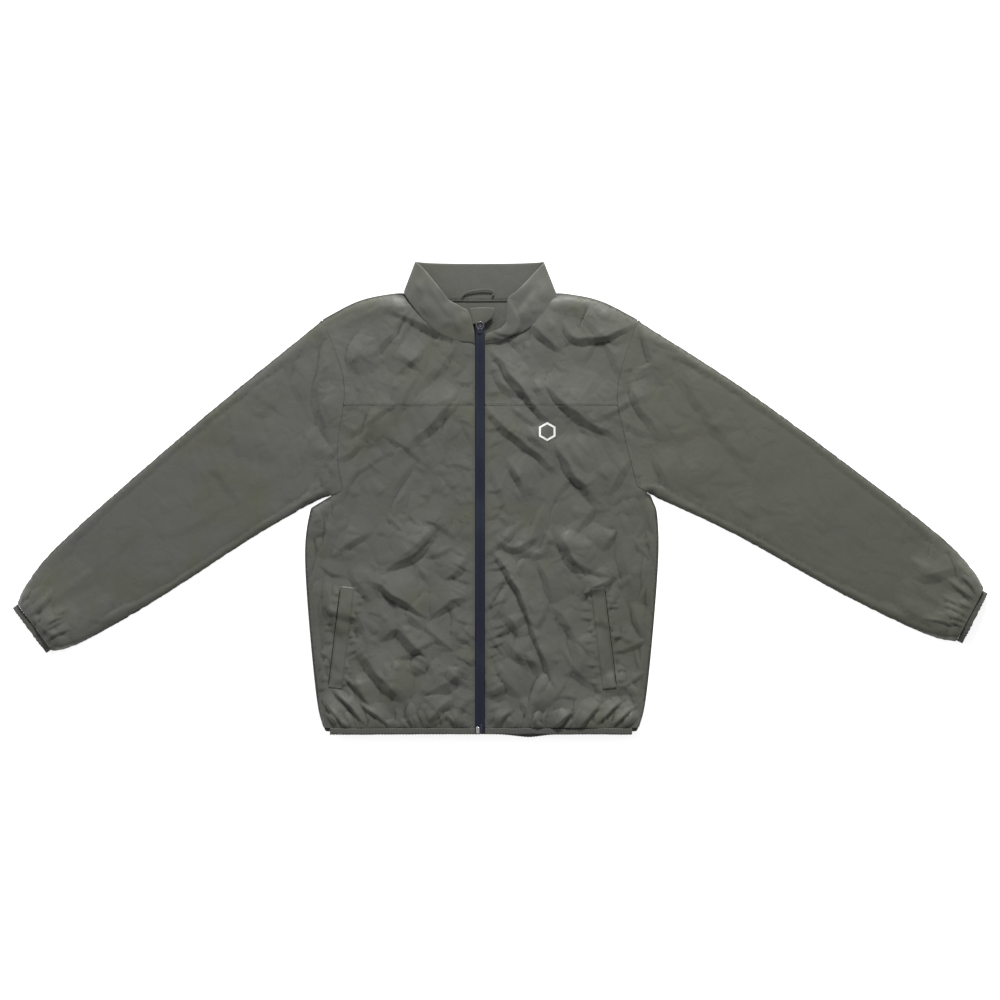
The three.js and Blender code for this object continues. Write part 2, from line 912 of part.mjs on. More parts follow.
function sliderBody() {
  const plate = (z) =>
    new THREE.ExtrudeGeometry(sliderPlateShape(sliderWidth, sliderLength), {
      depth: sliderPlate,
      bevelEnabled: false,
      curveSegments: 6,
    }).translate(0, sliderY, z);
  const web = block(
    [-webThickness / 2, sliderY - 1, sliderLow + 0.2],
    [webThickness / 2, sliderY + sliderLength / 2 - 1, sliderTop + 0.2],
  );
  const bridge = cut(
    block(
      [-bridgeWidth / 2, sliderY - bridgeLength / 2, sliderTop + 0.5],
      [bridgeWidth / 2, sliderY + bridgeLength / 2, sliderTop + sliderPlate + bridgeHeight],
    ),
    block(
      [-bridgeWidth, sliderY - bridgeLength / 2 + 1.4, sliderTop + sliderPlate],
      [
        bridgeWidth,
        sliderY + bridgeLength / 2 - 1.4,
        sliderTop + sliderPlate + bridgeHeight - bridgeWall,
      ],
    ),
  );
  return joined(plate(sliderLow), plate(sliderTop), web, bridge);
}

// A ring threaded under the bridge, lying flat with most of it above the slider.
const ringZ = sliderTop + sliderPlate + (bridgeHeight - bridgeWall) / 2;
const ringY = sliderY + ringOuter - ringWire / 2 - ringPlay;

function pullRing() {
  return new THREE.TorusGeometry(ringOuter - ringWire / 2, ringWire / 2, 8, 28).translate(
    0,
    ringY,
    ringZ,
  );
}

// ---- Inner pieces and trim ----

function windFlap() {
  const z = loft - flapDrop;
  const shape = new THREE.Shape();
  const top = frontNeckY + flapAbove;
  const low = frontHemY + bindingWidth + flapAboveHem;
  shape.moveTo(-flapRight, low);
  shape.lineTo(flapLeft, low);
  shape.lineTo(flapLeft, top - flapCorner);
  shape.quadraticCurveTo(flapLeft, top, flapLeft - flapCorner, top);
  shape.lineTo(-flapRight, top);
  shape.closePath();
  return new THREE.ExtrudeGeometry(shape, {
    depth: cloth,
    bevelEnabled: false,
    curveSegments: 5,
  }).translate(0, 0, z);
}

function pocketWelt(side) {
  const half = pocketLength / 2;
  const plan = pocketPlan(side, -weltWidth / 2, weltWidth / 2 - 0.6, -half, half);
  const low = (x, y) => frontTop(x, y) + 0.4;
  return slab(plan, low, (x, y) => low(x, y) + weltThickness, 3, 8);
}

const bagInner = slotInner - bagWidth;

function pocketBagUpper(side) {
  const half = bagLength / 2;
  const plan = pocketPlan(side, bagInner, slotInner - seamGap, -half, half);
  const high = (x, y) => frontUnder(x, y) - plyGap;
  return slab(plan, (x, y) => high(x, y) - lining, high, 6, 8);
}

// The lower ply dips into a bag, and rises to its seam all round.
function pocketBagLower(side) {
  const half = bagLength / 2;
  const outer = slotOuter + bagPastSlot;
  const plan = pocketPlan(side, bagInner, outer, -half, half);
  const width = outer - bagInner;
  const face = (offset) => (u, v) => {
    const p = plan(u, v);
    const rim = Math.min(u * width, (1 - u) * width, v * bagLength, (1 - v) * bagLength);
    const depth = bagDepth * Math.sin((Math.min(1, rim / bagSeam) * Math.PI) / 2);
    const seamZ = frontUnder(p.x, p.y) - plyGap - lining - seamGap;
    const under = Math.max(seamZ - depth - lining, cloth + foldGap);
    return [p.x, p.y, under + offset];
  };
  return skin(face(0), face(lining), 12, 14);
}

// A bar of tape arched over two sewn ends.
function hangerLoop() {
  const arch = (half, rise) => {
    const points = [];
    for (let i = 0; i <= 16; i++) {
      const angle = (Math.PI * i) / 16;
      points.push(
        new THREE.Vector2(half * Math.cos(angle), rise * Math.sin(angle) ** 0.6),
      );
    }
    return points;
  };
  const outer = arch(loopHalf, loopRise);
  const inner = arch(loopHalf - loopWidth, loopRise - loopWidth).reverse();
  return new THREE.ExtrudeGeometry(new THREE.Shape([...outer, ...inner]), {
    depth: cloth,
    bevelEnabled: false,
  }).translate(loopMiddle, neckY + 1, loopHeight);
}

function neckTape() {
  const half = 0.8 * sides[0].neckOut;
  return block(
    [-half, neckY - tapeWidth - 1, cloth + 0.4],
    [half, neckY - 1, cloth + 0.4 + lining],
  );
}

function chestBadge() {
  const side = sides[1];
  const ring = (radius) =>
    Array.from({ length: 6 }, (_, i) => {
      const angle = (i * Math.PI) / 3 + Math.PI / 6;
      return new THREE.Vector2(radius * Math.cos(angle), radius * Math.sin(angle));
    });
  const shape = new THREE.Shape(ring(badgeRadius));
  shape.holes.push(new THREE.Path(ring(badgeRadius - badgeLine)));
  const place = at(side, [badgeOut, badgeDrop]);
  return new THREE.ExtrudeGeometry(shape, { depth: badgeThickness, bevelEnabled: false }).translate(
    place.x,
    place.y,
    frontTop(place.x, place.y) + 0.3,
  );
}

// ---- Assembly ----

add("back_panel", backPanel(), shellCloth);
add("back_yoke", backYoke(), shellCloth);
add("collar_outer", collarPly(-cloth, 0), shellCloth);
add("collar_inner", collarPly(seamGap, seamGap + cloth), shellCloth);
add("neck_tape", neckTape(), bindingCloth);
add("hanger_loop", hangerLoop(), bindingCloth);
add("wind_flap", windFlap(), shellCloth);
add("chest_badge", chestBadge(), whitePrint);

for (const side of sides) {
  const sleeveGroup = new THREE.Group();
  jacket.add(sleeveGroup);
  add(`front_panel_${side.name}`, frontPanel(side), shellCloth);
  add(`front_yoke_${side.name}`, frontYoke(side), shellCloth);
  add(`sleeve_cap_${side.name}`, sleeveCap(side), shellCloth);
  add(`sleeve_${side.name}`, foldingSleeve(side), shellCloth, sleeveGroup);
  add(`cuff_binding_${side.name}`, cuffBinding(side), bindingCloth, sleeveGroup);
  add(`cuff_elastic_${side.name}`, cuffElastic(side), elasticWeb, sleeveGroup);
  add(`pocket_welt_${side.name}`, pocketWelt(side), shellCloth);
  add(`pocket_bag_upper_${side.name}`, pocketBagUpper(side), meshLining);
  add(`pocket_bag_lower_${side.name}`, pocketBagLower(side), meshLining);

  const plan = hemPlan(side);
  add(`hem_binding_front_${side.name}`, binding(plan, hemLow, hemHigh, 14), bindingCloth);
  add(`hem_elastic_front_${side.name}`, elasticStrip(plan, hemLow, hemHigh, 14), elasticWeb);

  const clips = side.sign < 0 ? [topStop, retainer] : [topStop, pin];
  add(`zip_tape_${side.name}`, notchedTape(side.sign, clips), zipTape);
  add(`zip_coil_${side.name}`, zipCoilHalf(side.sign, clips[1][1] + seamGap), zipCoil);
  add(
    `zip_top_stop_${side.name}`,
    tapeClip(side.sign, ...topStop, webGap, webGap + stopReach, coilLow, loft + cloth + 0.9),
    darkMetal,
  );
}

const backHem = backHemPlan();
add("hem_binding_back", binding(backHem, flat(0), flat(bindingThickness), 1), bindingCloth);
add("hem_elastic_back", elasticStrip(backHem, flat(0), flat(bindingThickness), 1), elasticWeb);

add(
  "zip_retainer_box",
  tapeClip(-1, ...retainer, webGap, webGap + boxReach, coilLow, loft + cloth + 1.4),
  brightMetal,
);
add(
  "zip_insertion_pin",
  tapeClip(1, ...pin, webGap, webGap + pinReach, coilLow, loft + cloth + 1),
  darkMetal,
);

add("zip_slider", sliderBody(), darkMetal);
add("zip_pull_ring", pullRing(), darkMetal);

export default jacket;
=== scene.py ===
# %% [markdown]
# # A nylon windbreaker, laid flat
# The real jacket is cut from very thin, tightly woven nylon. It holds every small crease, so nearly all of
# its look comes from shallow folds under soft light. We load the finished frame first: it fixes every size
# and place.

# %% Load the frame
import math

import bmesh
import bpy
import numpy as np
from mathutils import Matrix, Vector, geometry, kdtree, noise
from mathutils.bvhtree import BVHTree


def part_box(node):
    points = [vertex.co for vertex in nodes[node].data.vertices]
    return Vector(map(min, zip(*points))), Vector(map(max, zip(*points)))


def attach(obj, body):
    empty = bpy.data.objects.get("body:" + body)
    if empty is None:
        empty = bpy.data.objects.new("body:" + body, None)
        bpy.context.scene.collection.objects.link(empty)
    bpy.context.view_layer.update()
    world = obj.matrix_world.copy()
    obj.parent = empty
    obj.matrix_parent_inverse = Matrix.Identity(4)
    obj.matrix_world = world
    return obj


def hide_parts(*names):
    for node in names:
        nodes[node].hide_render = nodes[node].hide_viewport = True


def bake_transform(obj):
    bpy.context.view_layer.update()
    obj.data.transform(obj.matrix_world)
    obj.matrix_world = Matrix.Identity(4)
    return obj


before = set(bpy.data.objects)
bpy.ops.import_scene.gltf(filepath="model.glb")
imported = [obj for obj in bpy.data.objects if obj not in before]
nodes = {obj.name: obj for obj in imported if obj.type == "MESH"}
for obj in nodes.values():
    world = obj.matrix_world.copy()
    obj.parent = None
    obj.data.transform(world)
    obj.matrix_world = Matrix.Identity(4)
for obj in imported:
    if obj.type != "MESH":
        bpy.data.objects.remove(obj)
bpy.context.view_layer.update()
scene = bpy.context.scene
MM = 0.001
SIDES = {"right": -1, "left": 1}

# %% [markdown]
# ## Camera, floor and light
# A catalogue picture of a garment is taken from straight above, under a large diffuse light, on a white
# sweep. We set these first, because every fold is judged by the way it catches this light. The key light
# comes in low from the collar end, so that shallow folds cast soft shade, and the fill keeps the far side
# of them readable.

# %% Camera, floor and light
scene.view_settings.view_transform = "Standard"
scene.view_settings.look = "None"
VIEW_CENTRE, CAMERA_HEIGHT = (0.0304, -0.0008), 7.0
VIEW_WIDTH, SENSOR_WIDTH = 1.520, 36
FLOOR_HALF, FLOOR_HEIGHT = 6, -0.0006

camera = bpy.data.objects.new("camera", bpy.data.cameras.new("camera"))
scene.collection.objects.link(camera)
camera.location = (*VIEW_CENTRE, CAMERA_HEIGHT)
camera.data.sensor_width = SENSOR_WIDTH
camera.data.lens = SENSOR_WIDTH * CAMERA_HEIGHT / VIEW_WIDTH
scene.camera = camera


def plain_material(name, color, roughness, emission):
    material = bpy.data.materials.new(name)
    material.use_nodes = True
    shader = material.node_tree.nodes["Principled BSDF"]
    shader.inputs["Base Color"].default_value = (*color, 1)
    shader.inputs["Roughness"].default_value = roughness
    shader.inputs["Emission Color"].default_value = (*color, 1)
    shader.inputs["Emission Strength"].default_value = emission
    return material


floor_mesh = bpy.data.meshes.new("floor")
floor_corners = ((-1, -1), (1, -1), (1, 1), (-1, 1))
floor_mesh.from_pydata(
    [(x * FLOOR_HALF, y * FLOOR_HALF, FLOOR_HEIGHT) for x, y in floor_corners], [], [(0, 1, 2, 3)]
)
floor = bpy.data.objects.new("floor", floor_mesh)
scene.collection.objects.link(floor)
floor_mesh.materials.append(plain_material("floor_white", (0.92, 0.92, 0.92), 0.8, 0.8))


def soft_light(name, place, aim, size, power):
    light = bpy.data.objects.new(name, bpy.data.lights.new(name, "AREA"))
    light.data.shape = "RECTANGLE"
    light.data.size, light.data.size_y = size
    light.data.energy = power
    light.location = place
    light.rotation_euler = (Vector(aim) - Vector(place)).to_track_quat("-Z", "Y").to_euler()
    scene.collection.objects.link(light)
    print(name, power, "watts at", place)


soft_light("key_light", (0.35, 2.9, 1.4), aim=(0, -0.1, 0), size=(1.0, 0.45), power=142)
soft_light("fill_light", (-2.6, 0.9, 2.2), aim=(0, 0, 0), size=(1.2, 1.2), power=10)
world = bpy.data.worlds.new("studio")
scene.world = world
world.use_nodes = True
world.node_tree.nodes["Background"].inputs["Color"].default_value = (1, 1, 1, 1)
world.node_tree.nodes["Background"].inputs["Strength"].default_value = 0.29

# %% [markdown]
# ## Reading the pattern pieces from the frame
# A tailor starts from flat pattern pieces. The frame already holds each panel as a thin slab, so the rim of
# the slab's upper (or lower) faces is the pattern outline. We could draw the outlines again from numbers,
# but reading them keeps every seam where the frame has it.

# %% Reading a rim
MERGE = 2e-6


def rim(node, facing=1):
    """The longest rim round the faces of a node that look up (1), or down at the floor (-1), in plan."""
    bm = bmesh.new()
    bm.from_mesh(nodes[node].data)
    bmesh.ops.remove_doubles(bm, verts=bm.verts, dist=MERGE)
    bm.normal_update()
    chosen = {
        f
        for f in bm.faces
        if f.normal.z * facing > 0.5 and (facing > 0 or f.calc_center_median().z < 1e-4)
    }
    onward = {}
    for edge in bm.edges:
        if sum(f in chosen for f in edge.link_faces) == 1:
            a, b = edge.verts
            onward.setdefault(a.index, []).append(b.index)
            onward.setdefault(b.index, []).append(a.index)
    places = {v.index: (v.co.x, v.co.y) for v in bm.verts}
    bm.free()
    loops = []
    left = set(onward)
    while left:
        start = here = left.pop()
        loop = [start]
        before = None
        while True:
            ahead = [i for i in onward[here] if i != before and (i in left or i == start)]
            if not ahead or ahead[0] == start:
                break
            before, here = here, ahead[0]
            left.discard(here)
            loop.append(here)
        loops.append(np.array([places[i] for i in loop]))
    longest = max(loops, key=lambda p: np.linalg.norm(p - np.roll(p, 1, 0), axis=1).sum())
    x, y = longest.T
    turn = (x * np.roll(y, -1) - np.roll(x, -1) * y).sum()
    return longest if turn > 0 else longest[::-1]


# %% Corners and even spacing
def corners_of(loop, degrees=24, reach=6 * MM):
    """Which points of a closed outline are corners, judged over a reach so that tiny steps don't count."""
    step = np.linalg.norm(np.roll(loop, -1, 0) - loop, axis=1)
    along = np.concatenate([[0], np.cumsum(step)])
    total = along[-1]
    ring = np.vstack([loop, loop[:1]])
    spots = along[:-1]

    def at(s):
        s = np.mod(s, total)
        return np.stack([np.interp(s, along, ring[:, k]) for k in (0, 1)], axis=1)

    a, b = at(spots - reach), at(spots + reach)
    u, v = loop - a, b - loop
    lengths = np.linalg.norm(u, axis=1) * np.linalg.norm(v, axis=1) + 1e-12
    angle = np.degrees(np.arccos(np.clip((u * v).sum(1) / lengths, -1, 1)))
    keep = []
    for i in np.argsort(-angle):
        if angle[i] < degrees:
            break
        gap = [min(abs(spots[i] - spots[j]), total - abs(spots[i] - spots[j])) for j in keep]
        if not gap or min(gap) > 1.5 * reach:
            keep.append(i)
    return sorted(keep)


def resample(loop, spacing, soften=3):
    """An even, softened copy of an outline that keeps its corners."""
    marks = corners_of(loop) or [0]
    loop = np.roll(loop, -marks[0], axis=0)
    marks = [m - marks[0] for m in marks] + [len(loop)]
    ring = np.vstack([loop, loop[:1]])
    out = []
    for a, b in zip(marks, marks[1:]):
        part = ring[a : b + 1]
        along = np.concatenate([[0], np.cumsum(np.linalg.norm(np.diff(part, axis=0), axis=1))])
        count = max(1, round(along[-1] / spacing))
        s = np.linspace(0, along[-1], count + 1)
        even = np.stack([np.interp(s, along, part[:, k]) for k in (0, 1)], axis=1)
        for _ in range(soften):
            even[1:-1] = 0.5 * even[1:-1] + 0.25 * (even[:-2] + even[2:])
        out.append(even[:-1])
    return np.vstack(out)


# %% Pattern outlines
FOLD_GAP, FOLD_TOLERANCE = 0.00025, 0.0006


def merged_sleeve(side):
    """One outline for a sleeve and its cap, which the frame splits at the fold line."""
    cap, arm = rim(f"sleeve_cap_{side}", -1), rim(f"sleeve_{side}", -1)
    fold = max(abs(cap[:, 0])) + FOLD_GAP

    def opened(loop):
        on = abs(abs(loop[:, 0]) - fold) < FOLD_TOLERANCE
        first = next(i for i in range(len(loop)) if on[i] and not on[(i + 1) % len(loop)])
        turned = np.roll(loop, -(first + 1), axis=0)
        return turned[~(abs(abs(turned[:, 0]) - fold) < FOLD_TOLERANCE)]

    return np.vstack([opened(cap), opened(arm)])


outlines = {}
for side in SIDES:
    outlines[f"front_panel_{side}"] = rim(f"front_panel_{side}")
    outlines[f"front_yoke_{side}"] = rim(f"front_yoke_{side}")
    outlines[f"sleeve_{side}"] = merged_sleeve(side)
outlines["back_panel"] = rim("back_panel", -1)
outlines["back_yoke"] = rim("back_yoke", -1)
for name, loop in outlines.items():
    print(name, len(loop), "points", np.round(loop.min(0) / MM), np.round(loop.max(0) / MM))

# %% [markdown]
# ## How high the front lies
# Front and back touch at the side seams, shoulders and sleeve edges, and the front stands off the back in
# between. So the height depends on the distance to the nearest closed edge. A quarter ellipse gives a full
# edge and a flat top. Thin cloth has little to hold it up away from the middle, so it is flatter at the
# sides and on the sleeves.

# %% Helpers in plan
def dense(loop, step=0.5 * MM):
    ring = np.vstack([loop, loop[:1]])
    along = np.concatenate([[0], np.cumsum(np.linalg.norm(np.diff(ring, axis=0), axis=1))])
    s = np.arange(0, along[-1], step)
    return np.stack([np.interp(s, along, ring[:, k]) for k in (0, 1)], axis=1)


def tree_of(points):
    tree = kdtree.KDTree(len(points))
    for i, p in enumerate(points):
        tree.insert((*p[:2], 0), i)
    tree.balance()
    return tree


# %% Where the jacket is open and where it is sewn
zip_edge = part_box("zip_tape_left")[1][0]
hem_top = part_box("hem_binding_front_left")[1][1]
neck_side = {side: abs(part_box("collar_outer")[0 if s < 0 else 1][0]) for side, s in SIDES.items()}
yoke_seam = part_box("front_yoke_left")[0][1]
SEWN_GAP, BORDER = 1.6 * MM, 2 * MM
NECK_INSET, NECK_RISE = 1.5 * MM, 5 * MM
CUFF_OPEN = -9 * MM
FAN_START, FAN_END = 5 * MM, 60 * MM
FAN_NARROW, FAN_WIDE = 0.9, 1.5


def plan_frame(node):
    """Centre, long direction and half-length of a piece in plan."""
    points = np.array([v.co[:2] for v in nodes[node].data.vertices])
    middle = (points.max(0) + points.min(0)) / 2
    _, _, axes = np.linalg.svd(points - points.mean(0), full_matrices=False)
    across = axes[0] if axes[0][1] > 0 else -axes[0]
    spread = (points - middle) @ across
    return middle, across, (spread.max() - spread.min()) / 2


cuffs = {side: plan_frame(f"cuff_binding_{side}") for side in SIDES}
front_names = [n for n in outlines if not n.startswith("back")]
rims = {n: dense(outlines[n]) for n in front_names}
trees = {n: tree_of(p) for n, p in rims.items()}
closed = []
for name in front_names:
    side = name.rsplit("_", 1)[1]
    middle, across, half = cuffs[side]
    away = np.array([across[1], -across[0]]) * SIDES[side]
    for p in rims[name]:
        if any(trees[o].find((*p, 0))[2] < SEWN_GAP for o in front_names if o != name):
            continue
        at_zip = abs(p[0]) < zip_edge + BORDER
        at_hem = p[1] < hem_top + BORDER
        at_neck = "yoke" in name and abs(p[0]) < neck_side[side] - NECK_INSET and p[1] > yoke_seam + NECK_RISE
        at_cuff = "sleeve" in name and (p - middle) @ away > CUFF_OPEN
        if not (at_zip or at_hem or at_neck or at_cuff):
            closed.append(p)
closed_tree = tree_of(closed)
cuff_fans = []
for side, (middle, across, half) in cuffs.items():
    inward = -np.array([across[1], -across[0]]) * SIDES[side]
    start = middle + inward * FAN_START
    ends = middle + inward * FAN_END
    cuff_fans.append(
        (
            tuple(tuple((start + across * half * FAN_NARROW * k) / MM) for k in (-1, 1)),
            tuple(tuple((ends + across * half * FAN_WIDE * k) / MM) for k in (-1, 1)),
        )
    )
print(len(closed), "points on closed edges")

# %% Height of the front
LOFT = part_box("front_panel_left")[1][2]
EDGE, ROLL = 1.3 * MM, 26 * MM
FLATTER = 0.66
FLAT_FROM, FLAT_OVER = 110 * MM, 120 * MM
HEM_OVER, CUFF_OVER = 60 * MM, 95 * MM


def edge_distance(points):
    """Distance in plan to the nearest edge where front and back are sewn together."""
    return np.array([closed_tree.find((p[0], p[1], 0))[2] for p in points])


def eased(value):
    """A smooth step from 0 to 1."""
    value = np.clip(value, 0, 1)
    return value * value * (3 - 2 * value)


def loft(points):
    """Height of the front: full down the middle, at hem and cuffs, and lower where the cloth lies flat."""
    points = np.asarray(points, float)
    flatness = FLATTER * eased((np.abs(points[:, 0]) - FLAT_FROM) / FLAT_OVER)
    flatness *= eased((points[:, 1] - hem_top) / HEM_OVER)
    for side, (middle, across, _) in cuffs.items():
        inward = -np.array([across[1], -across[0]]) * SIDES[side]
        on_side = points[:, 0] * SIDES[side] > 0
        flatness *= np.where(on_side, eased((points - middle) @ inward / CUFF_OVER), 1)
    return EDGE + (LOFT - EDGE) * (1 - flatness)


def crown(points):
    """Height of the front with its rounded edge."""
    share = np.clip(edge_distance(points) / ROLL, 0, 1)
    return EDGE + (loft(points) - EDGE) * np.sqrt(1 - (1 - share) ** 2)


print("the front lies", round(LOFT / MM, 1), "mm up in the middle")

# %% [markdown]
# ## Long folds
# Long folds come from how the garment was put down, and no simulation would give these very ones. So they
# are drawn as strokes: a few points each, in millimetres on the jacket, with a width and a height.

# %% Long folds
CHEST_FOLDS = [
    ([(18, 228), (46, 192), (74, 152), (107, 119)], 7, 3.4),
    ([(112, 90), (140, 48), (178, 0)], 9, 3.2),
    ([(95, 180), (130, 148), (157, 127), (214, 92)], 10, 3.4),
    ([(12, 139), (34, 112), (88, 69), (116, 42)], 7, 2.6),
    ([(41, 60), (58, 38), (70, 4)], 6, 2.2),
    ([(76, 268), (98, 250), (122, 226)], 8, 2.6),
    ([(118, 280), (142, 248), (168, 246), (200, 252), (228, 264)], 8, 3.2),
    ([(-178, 252), (-190, 226), (-200, 196)], 8, 2.4),
    ([(-157, 140), (-166, 116), (-178, 90)], 7, 2.0),
    ([(-82, 230), (-108, 206), (-136, 184)], 10, 1.8),
    ([(-32, 166), (-52, 140), (-76, 112), (-116, 76)], 9, 2.6),
    ([(-138, 288), (-88, 268), (-56, 252), (-30, 243)], 7, 2.4),
    ([(-60, 214), (-96, 168), (-112, 140)], 12, 1.2),
]
SKIRT_FOLDS = [
    ([(21, -82), (44, -112), (62, -146), (88, -218), (132, -326)], 6, 4.0),
    ([(30, -62), (54, -73), (87, -56)], 7, 2.2),
    ([(-72, -52), (-108, -88), (-150, -108)], 9, 3.2),
    ([(-60, -126), (-38, -108), (-18, -84)], 7, 2.2),
    ([(-166, -120), (-120, -150), (-76, -184)], 9, 3.4),
    ([(-18, -145), (-46, -156), (-78, -176)], 8, 2.8),
    ([(-154, -216), (-126, -198), (-94, -230), (-76, -248)], 8, 3.0),
    ([(-108, -250), (-76, -262)], 9, 2.2),
    ([(-192, -214), (-150, -272), (-112, -306)], 9, 3.6),
    ([(120, -46), (142, -86), (170, -126)], 11, 3.2),
    ([(80, -322), (88, -296), (104, -262)], 8, 3.0),
    ([(36, -212), (62, -238), (90, -252)], 8, 2.0),
    ([(148, -150), (176, -132), (206, -116)], 7, 2.4),
    ([(-232, -120), (-226, -170), (-206, -214)], 8, 2.2),
    ([(-44, -300), (-68, -322), (-84, -340)], 7, 2.6),
    ([(-30, -262), (-58, -284), (-96, -300)], 9, 2.6),
    ([(30, -170), (52, -186), (64, -214)], 8, 2.4),
    ([(136, -196), (152, -232), (150, -270)], 9, 2.2),
    ([(212, -60), (226, -110), (232, -160)], 10, 2.0),
]
HEM_GATHERS = [
    ([(-240, -302), (-222, -324), (-202, -346)], 3.6, 2.6),
    ([(-222, -290), (-198, -314), (-174, -340)], 3.6, 3.0),
    ([(-186, -306), (-164, -322), (-140, -340)], 3.4, 2.4),
    ([(-232, -326), (-218, -342)], 3.0, 2.0),
    ([(-206, -268), (-180, -294), (-158, -322)], 4.5, 2.2),
    ([(-100, -346), (-108, -326), (-104, -306)], 4.0, 1.8),
    ([(178, -340), (196, -322), (216, -306)], 3.4, 2.8),
    ([(200, -344), (218, -328), (236, -314)], 3.2, 2.6),
    ([(110, -347), (126, -334), (142, -322)], 4.0, 2.8),
    ([(152, -346), (168, -326), (186, -306)], 3.8, 2.4),
    ([(218, -346), (232, -334), (242, -322)], 3.0, 2.0),
    ([(88, -346), (84, -330), (92, -316)], 4.0, 1.8),
    ([(28, -346), (34, -330), (50, -318)], 4.0, 1.8),
    ([(-36, -346), (-42, -334), (-52, -326)], 4.0, 1.8),
]
SLEEVE_FOLDS = [
    ([(-232, 236), (-246, 180), (-240, 128), (-226, 84)], 9, 3.0),
    ([(-262, 232), (-274, 186), (-268, 148)], 9, 2.2),
    ([(-300, 190), (-322, 148), (-346, 122)], 12, 1.6),
    ([(-244, 112), (-262, 84), (-268, 54)], 7, 1.8),
    ([(-310, 120), (-338, 88), (-352, 60)], 14, 1.2),
    ([(-660, -150), (-664, -184), (-672, -206)], 5, 1.6),
    ([(-640, -210), (-662, -196), (-678, -178)], 5, 1.4),
    ([(-606, -170), (-624, -186), (-628, -206)], 8, 1.2),
    ([(246, 256), (258, 224), (262, 206), (244, 196)], 6, 2.6),
    ([(232, 180), (240, 150), (262, 118), (276, 86)], 8, 3.0),
    ([(286, 214), (314, 176), (350, 128), (390, 72), (430, 20)], 11, 1.8),
    ([(300, 76), (318, 44), (328, 14)], 12, 1.4),
    ([(262, 70), (280, 40), (292, 12)], 7, 2.0),
    ([(640, -86), (672, -112), (700, -110), (724, -100)], 10, 1.8),
    ([(712, -70), (730, -104), (748, -136)], 7, 1.6),
    ([(690, -172), (716, -180), (734, -170)], 7, 1.4),
    ([(440, -20), (480, -44), (520, -86)], 16, 1.2),
]
ALL_FOLDS = CHEST_FOLDS + SKIRT_FOLDS + HEM_GATHERS + SLEEVE_FOLDS
print(len(ALL_FOLDS), "folds drawn by hand")

# %% [markdown]
# ## The shape of one fold
# Stiff thin cloth folds like paper: a crest with a steep side and a long gentle one. Round humps would look
# like dough. So each stroke is a lopsided ridge, steep towards the hem, and where two meet the higher one
# wins.

# %% From strokes to heights
DOWNHILL = (-0.42, -0.91)
FOLD_STRENGTH, RANDOM_STRENGTH, FINE_STRENGTH = 1.95, 1.1, 1.3
STEEP, GENTLE = 1.5, 3.0
LEG_STEPS = 5
WANDER_SCALE, WANDER = 38, 0.9
TIP, TIP_REACH = 0.12, 1.2


def between(four, t):
    """A point on the Catmull-Rom curve between the middle two of four points."""
    a, b, c, d = four
    return 0.5 * (2 * b + (c - a) * t + (2 * a - 5 * b + 4 * c - d) * t**2 + (3 * b - a - 3 * c + d) * t**3)


def smooth_path(points):
    """A Catmull-Rom curve through a few chosen points."""
    p = np.array(points, float)
    p = np.vstack([2 * p[0] - p[1], p, 2 * p[-1] - p[-2]])
    out = []
    for i in range(1, len(p) - 2):
        for t in np.linspace(0, 1, LEG_STEPS, endpoint=False):
            out.append(between(p[i - 1 : i + 3], t))
    return np.vstack([out, p[-2]])


def to_path(points, path):
    """Signed distance from each point to a path, and how far along the path that is, from 0 to 1."""
    best = np.full(len(points), np.inf)
    sign = np.ones(len(points))
    share = np.zeros(len(points))
    legs = len(path) - 1
    for i in range(legs):
        a, b = path[i], path[i + 1]
        ab = b - a
        t = np.clip(((points - a) @ ab) / (ab @ ab), 0, 1)
        off = points - a - t[:, None] * ab
        d = np.linalg.norm(off, axis=1)
        nearer = d < best
        best[nearer] = d[nearer]
        cross = ab[0] * off[:, 1] - ab[1] * off[:, 0]
        sign[nearer] = np.sign(cross[nearer])
        share[nearer] = (i + t[nearer]) / legs
    return best * sign, share


def long_folds(points, strokes=ALL_FOLDS, strength=FOLD_STRENGTH):
    """Height of the folds at points in plan."""
    height = np.zeros(len(points))
    wander = np.array([noise.noise(Vector((p[0] * WANDER_SCALE, p[1] * WANDER_SCALE, 2.0))) for p in points])
    for route, width, rise in strokes:
        path = smooth_path(route) * MM
        way = path[-1] - path[0]
        steep = 1 if way[0] * DOWNHILL[1] - way[1] * DOWNHILL[0] > 0 else -1
        reach = GENTLE * 2.6 * width * MM
        near = ((points > path.min(0) - reach) & (points < path.max(0) + reach)).all(1)
        if not near.any():
            continue
        d, share = to_path(points[near], path)
        ends = np.sin(np.pi * np.clip(share, 0, 1))
        beyond = np.minimum(
            np.linalg.norm(points[near] - path[0], axis=1), np.linalg.norm(points[near] - path[-1], axis=1)
        )
        s = (steep * d + WANDER * MM * width * 0.5 * wander[near]) / (width * MM * (0.55 + 0.45 * ends))
        steep_side, gentle_side = 1 - s / STEEP, 1 + s / (2.2 * GENTLE)
        shape = np.clip(np.where(s > 0, steep_side, gentle_side), 0, 1)
        tip = np.where((share <= 0) | (share >= 1), np.exp(-((beyond / (width * TIP_REACH * MM)) ** 2)), 1)
        raised = strength * rise * MM * shape * (TIP * tip + (1 - TIP) * ends**1.1)
        height[near] = np.maximum(height[near], raised)
    return height


# %% [markdown]
# ## Short folds
# Between the long folds the cloth is full of short ones. Nobody needs each of them in its place, only their
# direction, size and density, so they are scattered by rule from fixed seeds. Where elastic or a seam
# gathers the cloth, as at the hem, cuffs, zip and pockets, they start on that line and fan out from it.

# %% Short folds by rule
ANGLE_SPREAD, BEND, FAN_BEND = 14, 0.07, 0.16


